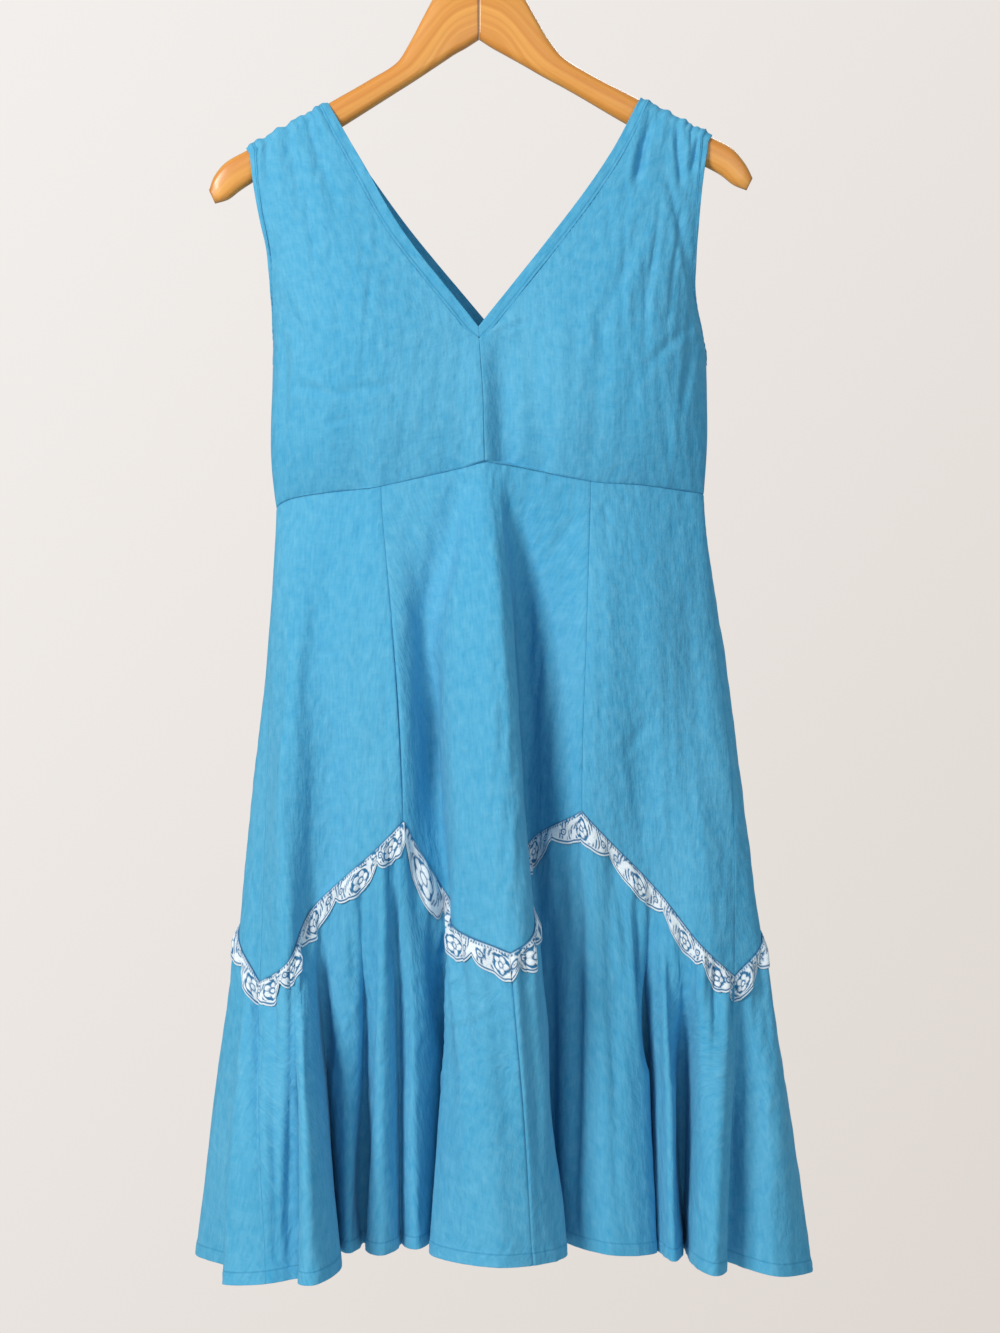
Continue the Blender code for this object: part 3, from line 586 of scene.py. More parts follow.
@dataclass(frozen=True)
class ClothFinish:
    """Cotton lawn, plain woven, piece-dyed and washed.

    It gives the eye a matt cloth with slubs both ways, soft crumples, and seams darkened by stitches and
    painted shade.
    """

    name: str = "dyed_cotton_lawn"
    light: str = "#6EBADB"
    dark: str = "#3F9FC9"
    # Seam colour: darker stitches, and painted shade in seam grooves, along cut edges and at the hem's turned
    # edge.
    seam: str = "#2C7FA9"
    roughness: float = 0.86
    slub: float = 1.1
    slub_run: float = 6.0
    crumple: float = 4.2
    fold: float = 8.0
    cloud: tuple[float, float] = (60.0, 110.0)
    mean_tone: float = -0.97

    def material(self) -> bpy.types.Material:
        """The thread is finer than a pixel, so slubs are drawn as coarse as they need to be to show."""
        material, tree, cut = new_material(self.name)
        warp = streaks(tree, cut, self.slub, self.slub_run)
        weft = streaks(tree, cut, self.slub_run, self.slub)
        crumple = streaks(tree, cut, self.crumple, 1.3 * self.crumple, 4.0)
        fold = streaks(tree, cut, self.fold, 2.6 * self.fold)
        cloud = streaks(tree, cut, *self.cloud, 3.0)
        weave = sum_of(tree, weft, 0.4, warp)
        uneven = sum_of(tree, cloud, 0.9, sum_of(tree, crumple, 0.9, self.mean_tone))
        spread = add(tree, "Clamp", {"Value": sum_of(tree, weave, 0.8, uneven)}).outputs[0]
        body = mixed(tree, spread, linear(self.dark), linear(self.light))
        # The seam mark paints this colour at stitches and as painted shade in the grooves of seams and edges.
        colour = mixed(tree, marked(tree, "seam"), body, linear(self.seam))
        height = sum_of(tree, weave, 0.25, sum_of(tree, fold, 1.2, crumple))
        return finished(material, colour, {"Height": height, "Strength": 0.75, "Distance": 0.0018}, {
            "Roughness": self.roughness,
            "Sheen Weight": 0.06,
            "Sheen Roughness": 0.5,
            "Specular IOR Level": 0.12,
        })


@dataclass(frozen=True)
class LaceFinish:
    """Cotton thread embroidered on fine net.

    It gives the eye raised white stitches, with the dyed cloth showing through the gaps in painted shade.
    """

    name: str = "embroidered_cotton_lace"
    thread: str = "#FDFEFF"
    thread_shade: str = "#DCE8F0"
    # The dyed cloth seen through the gaps, darkened as painted shade.
    shaded_cloth_in_gaps: str = "#22709F"
    roughness: float = 0.8
    stitch: float = 0.7

    def material(self) -> bpy.types.Material:
        """The mark named thread says where stitches lie, and short noise gives them their ribs."""
        material, tree, cut = new_material(self.name)
        thread = marked(tree, "thread")
        ribs = streaks(tree, cut, self.stitch, self.stitch, 3.0)
        patchy = add(tree, "MapRange", {"Value": ribs, 1: 0.3, 2: 0.7}).outputs[0]
        # The lower parts of the ribs take the greyer colour as painted shade.
        stitched = mixed(tree, patchy, linear(self.thread_shade), linear(self.thread))
        # Where there is no thread, the gaps take this colour: the dyed cloth behind the lace, darkened as
        # painted shade.
        colour = mixed(tree, thread, linear(self.shaded_cloth_in_gaps), stitched)
        relief = {"Height": sum_of(tree, ribs, 0.5, thread), "Strength": 0.6, "Distance": 0.0006}
        return finished(material, colour, relief, {"Roughness": self.roughness, "Sheen Weight": 0.1})


@dataclass(frozen=True)
class WoodFinish:
    """Lotus wood, sawn, sanded and varnished.

    It gives the eye long warm grain lines, a few pores, darker knots and ends, and a soft clear gloss.
    """

    name: str = "varnished_lotus_wood"
    light: str = "#F2A94E"
    dark: str = "#D8842E"
    knot: str = "#8E5A2A"
    grain: float = 2.4
    run: float = 90.0
    pore: tuple[float, float] = (9.0, 0.5)

    def material(self) -> bpy.types.Material:
        """Grain lines follow the arm's own layout, and the mark named knot darkens knots, joint and tips."""
        material, tree, cut = new_material(self.name)
        grain = streaks(tree, cut, self.run, self.grain, 4.0)
        broad = streaks(tree, cut, 2.2 * self.run, 9.0)
        pores = streaks(tree, cut, *self.pore, 1.0)
        tone = sum_of(tree, grain, 2.2, sum_of(tree, broad, 1.2, -1.2))
        spread = add(tree, "Clamp", {"Value": tone}).outputs[0]
        face = mixed(tree, spread, linear(self.dark), linear(self.light))
        pitted = add(tree, "MapRange", {"Value": pores, 1: 0.62, 2: 0.75, 3: 0.0, 4: 0.35}).outputs[0]
        pored = mixed(tree, pitted, face, linear(self.dark))
        colour = mixed(tree, marked(tree, "knot"), pored, linear(self.knot))
        relief = {"Height": grain, "Strength": 0.15, "Distance": 0.0006}
        gloss = {"Roughness": 0.38, "Coat Weight": 0.35, "Coat Roughness": 0.2}
        return finished(material, colour, relief, gloss)


@dataclass(frozen=True)
class SteelFinish:
    """Steel wire, drawn and nickel-plated.

    It gives the eye a bright metal with fine drawing lines that run along it.
    """

    name: str = "nickel_plated_steel_wire"
    bright: str = "#D6D6D4"
    dull: str = "#B4B5B6"
    line: tuple[float, float] = (12.0, 0.3)

    def material(self) -> bpy.types.Material:
        """Drawing lines lie along the wire, and the plating keeps the gloss."""
        material, tree, cut = new_material(self.name)
        lines = streaks(tree, cut, *self.line)
        colour = mixed(tree, lines, linear(self.dull), linear(self.bright))
        relief = {"Height": lines, "Strength": 0.1, "Distance": 0.0002}
        return finished(material, colour, relief, {"Metallic": 1.0, "Roughness": 0.24})


def placed(name: str, data: bpy.types.ID) -> bpy.types.Object:
    """A new object of this data, linked into the scene."""
    made = bpy.data.objects.new(name, data)
    bpy.context.collection.objects.link(made)
    return made


@dataclass
class Piece:
    """A mesh piece on a grid of points, with its layout, its marks and the way it faces."""

    name: str
    points: np.ndarray
    marks: dict[str, np.ndarray] = field(default_factory=dict)
    layout: np.ndarray | None = None
    flip: bool = False
    round_about: bool = False

    def faces(self) -> np.ndarray:
        """Four corners for each cell of the grid, which joins its last column to its first if round_about."""
        rows, columns = self.points.shape[:2]
        index = np.arange(rows * columns).reshape(rows, columns)
        following = np.roll(index, -1, axis=1) if self.round_about else index[:, 1:]
        here = index if self.round_about else index[:, :-1]
        made = np.stack([here[:-1], here[1:], following[1:], following[:-1]], axis=-1).reshape(-1, 4)
        return made[:, ::-1] if self.flip else made

    def cut_layout(self) -> np.ndarray:
        """The cloth laid flat, in metres: the length passed across from the middle, and down."""
        if self.layout is not None:
            return self.layout * MM
        across, down = arc(self.points, 1), arc(self.points, 0)
        across = across - across[:, across.shape[1] // 2][:, None]
        return np.stack([across, down], axis=-1) * MM

    def build(self, material: bpy.types.Material, thickness: float = 0.0) -> bpy.types.Object:
        """Makes the object.

        Args:
            material: Its one material.
            thickness: Millimetres of cloth, added half on each side, or 0 for a shape that is closed already.

        Returns:
            The object, at the origin.
        """
        corners = self.faces()
        mesh = bpy.data.meshes.new(self.name)
        mesh.from_pydata((self.points.reshape(-1, 3) * MM).tolist(), [], corners.tolist())
        layer = mesh.uv_layers.new(name="cut")
        laid = self.cut_layout().reshape(-1, 2)
        layer.data.foreach_set("uv", laid[corners.ravel()].astype(np.float32).ravel())
        for name, values in self.marks.items():
            mark = mesh.attributes.new(name, "FLOAT", "POINT")
            mark.data.foreach_set("value", np.clip(values, 0, 1).astype(np.float32).ravel())
        mesh.shade_smooth()
        mesh.materials.append(material)
        made = placed(self.name, mesh)
        if thickness:
            wall = made.modifiers.new("cloth", "SOLIDIFY")
            wall.thickness = thickness * MM
            wall.offset = 0.0
        return made


def normals_of(points: np.ndarray, flip: bool) -> np.ndarray:
    """Unit normals of a grid: the cross product of its two directions at each point."""
    normal = np.cross(np.gradient(points, axis=0), np.gradient(points, axis=1)) * (-1 if flip else 1)
    return normal / np.maximum(np.linalg.norm(normal, axis=-1, keepdims=True), 1e-9)


def raised(points: np.ndarray, height: np.ndarray, flip: bool = False) -> np.ndarray:
    """A grid moved out along its normals by a height at each point."""
    return points + height[..., None] * normals_of(points, flip)


def hang(piece: bpy.types.Object, node: str) -> None:
    """The piece rides on the body and stands for its node."""
    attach(piece, BODY)
    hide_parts(node)
    LOG.info("%s: %d faces, for %s", piece.name, len(piece.data.polygons), node)


def sew(made: bpy.types.Object, node: str) -> None:
    """Hangs a sheet of cloth.

    Args:
        made: Its object.
        node: The node that it stands for.
    """
    hang(made, node)


class FoldRing:
    """The surface that the skirt and its flounce are cut from, worked out from their two tables of folds."""

    low_z = -915.0
    waist_ease = 0.07
    edge_share_of_fold = 0.35
    edge_lead = 0.6
    fold_swell = (1.0, 6.0, 0.0)
    hem_middle_z = -1122.0
    hem_side_drop = 26.0
    hem_half_width = 250.0
    slope_share = 0.02
    corner_lines = ("left side seam", "left panel seam", "cone crest", "right panel seam",
                    "right side seam", "back right seam", "back middle", "back left seam")

    def __init__(self) -> None:
        """Reads the tables into columns."""
        self.fold = dict(zip(FOLD_COLUMNS, np.array(list(SKIRT_FOLDS.values()), float).T))
        self.corners = (*(LINE[name] for name in self.corner_lines), RING)
        self.hem_places, self.hem_x, self.hem_y = self.hem_knots()
        self.hem_count = len(self.hem_places)

    def around(self, column: str, u: np.ndarray) -> np.ndarray:
        """A column of SKIRT_FOLDS at ring places, smooth and closed."""
        lines = np.arange(-3, RING + 4)
        return smooth(np.mod(u, RING), lines, self.fold[column][lines % RING])

    def skirt(self, q: np.ndarray, u: np.ndarray) -> np.ndarray:
        """The skirt's surface: curves through its levels, q of the way from the waist seam down to low_z."""
        q, u = np.broadcast_arrays(np.asarray(q, float), np.asarray(u, float))
        eased = q * (1 - np.exp(-q / self.waist_ease))
        x = smooth(eased, LEVELS, [self.around(name + "_x", u) for name in LEVEL_NAMES])
        y = smooth(eased, LEVELS, [self.around(name + "_y", u) for name in LEVEL_NAMES])
        waist_z = self.around("waist_z", u)
        return np.stack([x, y, waist_z + q * (self.low_z - waist_z)], axis=-1)

    def edge(self, u: np.ndarray) -> np.ndarray:
        """How far down the skirt its zigzag edge is: a steady curve between each two corners."""
        place = np.mod(u, RING)
        height = np.zeros_like(place)
        for first, last in zip(self.corners, self.corners[1:]):
            lines = np.arange(first, last + 1)
            part = smooth(place, lines, self.fold["edge_z"][lines % RING], steady=True)
            height = np.where((place >= first) & (place <= last), part, height)
        waist_z = self.around("waist_z", u)
        return (height - waist_z) / (self.low_z - waist_z)

    def hem_knots(self) -> tuple[np.ndarray, np.ndarray, np.ndarray]:
        """Ring places, x and y of the hem's control points: each fold's edges, its crest and its hollow."""
        rows, xs, ys = [], [], []
        share = self.edge_share_of_fold
        for number, fold in enumerate(HEM_FOLDS):
            u_left, u_crest, u_right, x_left, x_right, y_crest, x_hollow, y_hollow = fold[1:]
            y_before = HEM_FOLDS[number - 1][-1]
            last = number + 1 == len(HEM_FOLDS)
            next_left = HEM_FOLDS[0][1] + RING if last else HEM_FOLDS[number + 1][1]
            rows += [u_left, u_crest, u_right, (u_right + next_left) / 2]
            xs += [x_left, (x_left + x_right) / 2, x_right, x_hollow]
            ys += [y_crest + share * (y_before - y_crest), y_crest]
            ys += [y_crest + share * (y_hollow - y_crest), y_hollow]
        return np.array(rows), np.array(xs, float), np.array(ys, float)

    def hem(self, column: np.ndarray, k: np.ndarray) -> np.ndarray:
        """A hem column at hem places, smooth and closed."""
        knots = np.arange(-3, self.hem_count + 4)
        return smooth(np.mod(k, self.hem_count), knots, column[knots % self.hem_count])

    def ring_place(self, k: np.ndarray) -> np.ndarray:
        """The ring place above each hem place."""
        knots = np.arange(-3, self.hem_count + 4)
        turns = knots // self.hem_count
        return smooth(k, knots, self.hem_places[knots % self.hem_count] + turns * RING, steady=True)

    def hem_place(self, u: float) -> float:
        """The hem place below a ring place."""
        k = np.linspace(-2, self.hem_count + 3, 40 * self.hem_count)
        return float(np.interp(u, self.ring_place(k), k))

    def flounce(self, w: np.ndarray, k: np.ndarray) -> np.ndarray:
        """The flounce's surface, w of the way from the zigzag edge to the hem.

        It is a straight line to the hem's fold, plus a curve that leaves the edge partly in the skirt's own
        direction, then swells early into the folds.
        """
        w, k = np.broadcast_arrays(np.asarray(w, float), np.asarray(k, float))
        u = self.ring_place(k)
        share = self.edge(u)
        top = self.skirt(share, u)
        slope = top - self.skirt(share - self.slope_share, u)
        hem_x = self.hem(self.hem_x, k)
        hem_z = self.hem_middle_z - self.hem_side_drop * (np.abs(hem_x) / self.hem_half_width) ** 1.6
        hem = np.stack([hem_x, self.hem(self.hem_y, k), hem_z], axis=-1)
        way = hem - top
        onward = slope * way[..., 2:] / slope[..., 2:]
        w = w[..., None]
        lead = self.edge_lead * (onward - way) * w * (1 - w) ** 2
        return top + way * w + lead + np.array(self.fold_swell) * way * (w * (1 - w)) ** 2


@dataclass
class Skirt:
    """Six skirt panels, sewn to the waist seam, at the side seams and below the peaks of the zigzag edge."""

    ring: FoldRing
    finish: bpy.types.Material
    step: float = 2.8
    back_step: float = 4.0
    length: float = 370.0
    middle: float = 0.7
    just_before: float = 1e-6
    thickness: float = 0.9
    roll: float = 0.9
    calm: float = 14.0
    crinkle: Crinkle = Crinkle(0.44, 13, 90, 14)
    fine: Crinkle = Crinkle(0.16, 6, 26, 16)
    seam_tucks: Tucks = Tucks(0.22, 6.5, 5)
    waist_tucks: Tucks = Tucks(0.30, 7.5, 9)
    panels: tuple = (
        ("front_left", "left side seam", "left panel seam", Face.FRONT),
        ("front_centre", "left panel seam", "right panel seam", Face.FRONT),
        ("front_right", "right panel seam", "right side seam", Face.FRONT),
        ("back_right", "right side seam", "back right seam", Face.BACK),
        ("back_centre", "back right seam", "back left seam", Face.BACK),
        ("back_left", "back left seam", "left side seam", Face.BACK),
    )

    def grid(self, first: float, last: float, step: float) -> tuple[np.ndarray, np.ndarray]:
        """Rows of shares and ring places, evenly spaced by length well down the panel, with corners kept."""
        last = last if last > first else last + RING
        dense = np.linspace(first, last, DENSE)
        run = arc(self.ring.skirt(np.full(DENSE, self.middle), dense), 0)
        u = np.interp(places(run[-1], step) * run[-1], run, dense)
        for corner in self.ring.corners:
            if first < corner < last:
                u[np.argmin(np.abs(u - corner))] = corner
        u[-1] -= self.just_before
        return places(self.length, step)[:, None], u[None, :]

    def relief(self, points: np.ndarray, face: Face, seed: int) -> np.ndarray:
        """Listed creases and faint crinkles, rolled down at the seams, with tucks that fade beside them."""
        edge, top = inward(arc(points, 1)), arc(points, 0)
        bottom = top[-1:] - top
        x, z = points[..., 0], points[..., 2]
        calm = ramp(edge, self.calm)
        height = crease_relief(points, SKIRT_CREASES if face is Face.FRONT else SKIRT_BACK_CREASES)
        height += calm * self.crinkle.relief(x, z, seed)
        height += calm * self.fine.relief(x, z, seed + 7)
        height += self.seam_tucks.relief(top, edge, seed)
        height += self.waist_tucks.relief(x, top, seed + 3)
        height *= ramp(bottom, 6) * ramp(edge, 1.5) * ramp(top, 1.5)
        return height - self.roll * (0.5 * beside(edge, 0.9) + beside(top, 1.1) + 0.5 * beside(bottom, 1.1))

    def build(self) -> None:
        """Builds the six panels and dresses each."""
        for seed, (name, first, last, face) in enumerate(self.panels, SKIRT_SEED):
            step = self.step if face is Face.FRONT else self.back_step
            rows, u = self.grid(LINE[first], LINE[last], step)
            points = self.ring.skirt(rows * self.ring.edge(u), u)
            edge, down = inward(arc(points, 1)), arc(points, 0)
            # Seam mark: darker stitches, and painted shade in the seam grooves at the sides and waist and
            # along the lower edge.
            seam = 0.16 * beside(edge, 0.7) + 0.45 * beside(down, 0.7) + 0.4 * beside(down[-1:] - down, 0.6)
            height = self.relief(points, face, seed)
            piece = Piece("cloth_skirt_" + name, raised(points, height), {"seam": seam})
            sew(piece.build(self.finish, self.thickness), "skirt_" + name)


@dataclass
class Flounce:
    """Four gathered pieces below the zigzag edge, each with a stitched hem and lace over its top."""

    ring: FoldRing
    finish: bpy.types.Material
    lace_finish: bpy.types.Material
    step: float = 2.2
    back_coarser: float = 1.4
    row_step: float = 4.5
    spacing_at: float = 0.8
    lace_spacing_at: float = 0.04
    thickness: float = 0.9
    hem_width: float = 11.0
    hem_rows: tuple = (14, 12.6, 11.9, 11.4, 11, 10.6, 10.2, 9.8, 9.4, 9, 8, 6.5, 4.5, 2.8, 1.4, 0.6, 0.0)
    top_rows: tuple = (0.0, 0.8, 1.8, 3.2)
    gather_height: float = 3.9
    gathers_per_fold: float = 1.6
    crinkle: Crinkle = Crinkle(0.42, 17, 120, 12)
    fine: Crinkle = Crinkle(0.16, 7, 30, 14)
    hem_tucks: Tucks = Tucks(0.35, 8.0, 6)
    lace_thickness: float = 0.6
    lace_lift: float = 1.35
    lace_relief: float = 0.35
    lace_step: float = 0.7
    lace_back_coarser: float = 1.3
    lace_deepest: float = 27.0
    lace_least: float = 12.0
    lace_scallop: float = 11.5
    lace_bump: float = 1.1
    turned_away: float = 18.3
    turned_width: float = 1.7
    scallops_per_fold: float = 1.25
    pieces: tuple = (
        ("front_left", "left side seam", "cone crest", Face.FRONT),
        ("front_right", "cone crest", "right side seam", Face.FRONT),
        ("back_right", "right side seam", "back middle", Face.BACK),
        ("back_left", "back middle", "left side seam", Face.BACK),
    )

    def hem_range(self, first: str, last: str, step: float, at: float) -> np.ndarray:
        """Hem places between two lines, evenly spaced by length w = at down, with corners kept."""
        start = LINE[first]
        end = LINE[last] if LINE[last] > start else LINE[last] + RING
        dense = np.linspace(self.ring.hem_place(start), self.ring.hem_place(end), 1500)
        run = arc(self.ring.flounce(np.full(1500, at), dense), 0)
        shares = places(run[-1], step)
        k = np.interp(shares * run[-1], run, dense)
        for corner in self.ring.corners:
            if start < corner < end:
                k[np.argmin(np.abs(k - self.ring.hem_place(corner)))] = self.ring.hem_place(corner)
        return k[None, :]

    def lengths(self, k: np.ndarray) -> np.ndarray:
        """The length of the flounce from its edge to its hem, below each hem place."""
        rows = np.linspace(0, 1, 16)[:, None]
        return arc(self.ring.flounce(rows, k), 0)[-1:]

    def gathers(self, distance: np.ndarray, k: np.ndarray) -> np.ndarray:
        """The gathers sewn into the upper edge: waves that swell below the seam and fade down the cloth."""
        place = self.ring.ring_place(k)
        wave = np.sin(2 * math.pi * self.gathers_per_fold * place)
        small = np.sin(2 * math.pi * 3.7 * place + 1.3 * np.sin(5.1 * place))
        fine = np.sin(2 * math.pi * 6.3 * place + 2.1 * np.sin(3.3 * place))
        height = self.gather_height * wave * beside(distance, 90)
        height += 1.1 * small * beside(distance, 55) + 0.5 * fine * beside(distance, 30)
        return ramp(distance, 12) * height

    def relief(self, points: np.ndarray, distance: np.ndarray, left: np.ndarray, k: np.ndarray, face: Face,
               seed: int) -> np.ndarray:
        """Gathers, listed creases, crinkles, and a hem turned up double and drawn in by its stitches.

        Args:
            points: Grid of the cloth.
            distance: Millimetres below the upper edge.
            left: Millimetres above the hem.
            k: Hem places.
            face: The side that it is on.
            seed: Seed of its crinkles and tucks.

        Returns:
            The height of the relief at each point.
        """
        across = arc(points, 1)
        edge = inward(across)
        height = self.gathers(distance, k)
        height += crease_relief(points, FLOUNCE_CREASES if face is Face.FRONT else FLOUNCE_BACK_CREASES)
        calm = ramp(edge, 12) * ramp(distance, 25)
        height += calm * self.crinkle.relief(across, distance, seed)
        height += calm * self.fine.relief(across, distance, seed + 5)
        doubled = 1 / (1 + np.exp((left - self.hem_width) / 0.5))
        height += 0.5 * doubled - 0.35 * bell(left - (self.hem_width - 1.2), 0.7)
        near_hem = beside(np.abs(left - 6.0), self.hem_tucks.reach) * ramp(left, 3)
        height += self.hem_tucks.wave(across, seed) * near_hem
        height *= ramp(edge, 1.5) * ramp(distance, 2)
        return height - 0.15 * beside(edge, 1.1) - 0.5 * beside(distance, 1.5)

    def rows(self, length: np.ndarray) -> np.ndarray:
        """Row shares: even below the edge, then at fixed distances from the hem, where its stitches lie."""
        hem, top = np.array(self.hem_rows), np.array(self.top_rows)
        count = round((length.max() - hem[0]) / self.row_step)
        middle = np.linspace(0, 1, count + 1)[1:-1]
        start, end = top[-1] / length, 1 - hem[0] / length
        inside = start + (end - start) * middle[:, None]
        return np.concatenate([top[:, None] / length, inside, 1 - hem[:, None] / length])

    def build(self) -> None:
        """Builds the four flounce pieces and the lace over each."""
        for seed, (name, first, last, face) in enumerate(self.pieces):
            step = self.step if face is Face.FRONT else self.back_coarser * self.step
            k = self.hem_range(first, last, step, self.spacing_at)
            length = self.lengths(k)
            w = self.rows(length)
            distance, left, k = w * length, (1 - w) * length, np.broadcast_to(k, w.shape)
            points = self.ring.flounce(w, k)
            height = self.relief(points, distance, left, k, face, FLOUNCE_SEED + seed)
            edge = inward(arc(points, 1))
            # Seam mark: painted shade along the edge of the turned-up hem and at its stitches, and faintly at
            # the side edges.
            seam = 0.08 * beside(edge, 0.8) + 0.45 * bell(left - (self.hem_width - 1.0), 0.7)
            piece = Piece("cloth_flounce_" + name, raised(points, height), {"seam": seam})
            made = piece.build(self.finish, self.thickness)
            sew(made, "flounce_" + name)
            self.build_lace(name, first, last, face, seed)

    def lace_drop(self, k: np.ndarray) -> np.ndarray:
        """How far down the lace reaches.

        It has blunt scallops with three small bumps each, and is deeper where the cloth turns away beside the
        middle fold.
        """
        phase = np.mod(self.scallops_per_fold * self.ring.ring_place(k), 1)
        lobe = 1 - np.abs(2 * phase - 1) ** 2
        bumps = self.lace_bump * np.abs(np.sin(3 * math.pi * phase))
        drop = self.lace_least + self.lace_scallop * lobe + bumps
        return drop * (1 + 0.8 * bell(k - self.turned_away, self.turned_width))

    def build_lace(self, name: str, first: str, last: str, face: Face, seed: int) -> None:
        """Builds the lace over one flounce piece.

        Args:
            name: The piece's place on the dress.
            first: The fold line where it starts.
            last: The fold line where it ends.
            face: The side that it is on.
            seed: Seed of its small differences.
        """
        step = self.lace_step if face is Face.FRONT else self.lace_back_coarser * self.lace_step
        k = self.hem_range(first, last, step, self.lace_spacing_at)
        length, drop = self.lengths(k), self.lace_drop(k)
        distance = np.linspace(0, 1, round(self.lace_deepest / step))[:, None] * drop
        w, k_grid = distance / length, np.broadcast_to(k, distance.shape)
        points = self.ring.flounce(w, k_grid)
        along = np.broadcast_to(arc(points, 1)[:1], distance.shape)
        pattern = LacePattern(seed, self.scallops_per_fold)
        thread = pattern.thread(along, distance, drop, self.ring.ring_place(k))
        lift = self.lace_lift * np.clip(0.35 + distance / 3, 0, 1)
        height = self.gathers(distance, k_grid) + lift + self.lace_relief * thread
        layout = np.stack([along, distance], axis=-1)
        piece = Piece("lace_edging_" + name, raised(points, height), {"thread": thread}, layout)
        made = piece.build(self.lace_finish, self.lace_thickness)
        sew(made, "lace_" + name)


@dataclass
class LacePattern:
    """A traditional floral edging: dense stitching, a flower in each scallop and small gaps between."""

    seed: int
    scallops_per_fold: float
    soft: float = 0.5
    coil: float = 3.0
    rung: float = 2.6

    def line(self, distance: np.ndarray, half: float) -> np.ndarray:
        """One within half a line's width, fading over the soft edge."""
        return np.clip((half + self.soft / 2 - np.abs(distance)) / self.soft, 0, 1)

    def flower(self, radius: np.ndarray, angle: np.ndarray, size: np.ndarray) -> np.ndarray:
        """Five round petals about a ring: the rim swells with the cosine of five halves of the angle."""
        rim = size * (0.66 + 0.34 * np.abs(np.cos(2.5 * angle)))
        petals = np.clip((rim - radius) / self.soft, 0, 1)
        veins = self.line(radius * np.sin(2.5 * angle + math.pi / 2), 0.6) * (radius > 0.4 * size)
        return petals * (1 - veins) * (1 - self.line(radius - 0.32 * size, 0.6))

    def gaps(self, a: np.ndarray, b: np.ndarray, hand: np.ndarray, pitch: np.ndarray) -> np.ndarray:
        """Openings between the stitches.

        They are broken lines on a spiral round the scallop's middle, where the radius in steps matches the
        angle's turn, and an eyelet ring on each side of it.

        Args:
            a: Millimetres across from the scallop's middle.
            b: Millimetres below it.
            hand: The way that the spiral turns, 1 or -1.
            pitch: The scallop's width.

        Returns:
            1 in a gap and 0 elsewhere, with soft edges.
        """
        radius, angle = np.hypot(a, b), np.arctan2(b, a)
        off = np.mod(radius / self.coil - hand * angle / (2 * math.pi), 1) - 0.5
        broken = np.clip(0.55 + 1.8 * np.sin(5 * angle + radius / 1.9 + 2 * hand), 0, 1)
        made = self.line(off * self.coil, 0.75) * broken
        for side in (-1, 1):
            ring = np.hypot(a - side * 0.36 * pitch, b + 1.2)
            eyelet = np.maximum(self.line(ring - 2.4, 0.65), self.line(ring, 0.7))
            made = np.maximum(made * (ring > 3.4), eyelet)
        return made

    def thread(self, along: np.ndarray, distance: np.ndarray, drop: np.ndarray,
               place: np.ndarray) -> np.ndarray:
        """How much stitching there is at each point.

        Args:
            along: Millimetres along the upper edge.
            distance: Millimetres below it.
            drop: The lace's depth there.
            place: Ring places, one for each column.

        Returns:
            0 in a gap to 1 on full stitching, with two cords along the scalloped edge and a gap between them.
        """
        turns = self.scallops_per_fold * place
        number, phase = np.floor(turns).astype(int), np.mod(turns, 1)
        pitch = np.abs(np.gradient(along[0]) / np.maximum(np.abs(np.gradient(turns[0])), 1e-6))
        draws = np.random.default_rng(self.seed).uniform(-1, 1, (3, 64))[:, number[0] % 64]
        shake = 0.6 * np.sin(along / 3.7) * np.sin(distance / 2.9 + 1.0)
        shake = shake + 0.5 * np.sin(along / 7.9 + distance / 4.1)
        a = (phase - 0.5) * pitch + 1.4 * draws[0] + shake
        b = distance - (0.52 + 0.05 * draws[1]) * drop + 0.5 * shake
        radius, size = np.hypot(a, b), (0.3 + 0.03 * draws[2]) * drop
        between = 1 - self.gaps(a, b, np.where(draws[2] > 0, 1, -1), pitch)
        filled = np.where(radius < size + 0.9, self.flower(radius, np.arctan2(b, a), size), between)
        across = (np.mod(along / self.rung, 1) - 0.5) * self.rung
        eyelets = self.line(across, 0.75) * self.line(distance - 2.2, 0.8)
        # The top millimetre fades to no stitching, so the dark gap colour shows there as a painted shadow of
        # the skirt's edge.
        filled = filled * (1 - eyelets) * np.clip(distance - 0.4, 0, 1)
        inside = drop - distance
        cords = np.maximum(self.line(inside - 0.6, 0.7), self.line(inside - 3.3, 0.55))
        return np.where(inside > 3.6, filled, cords)


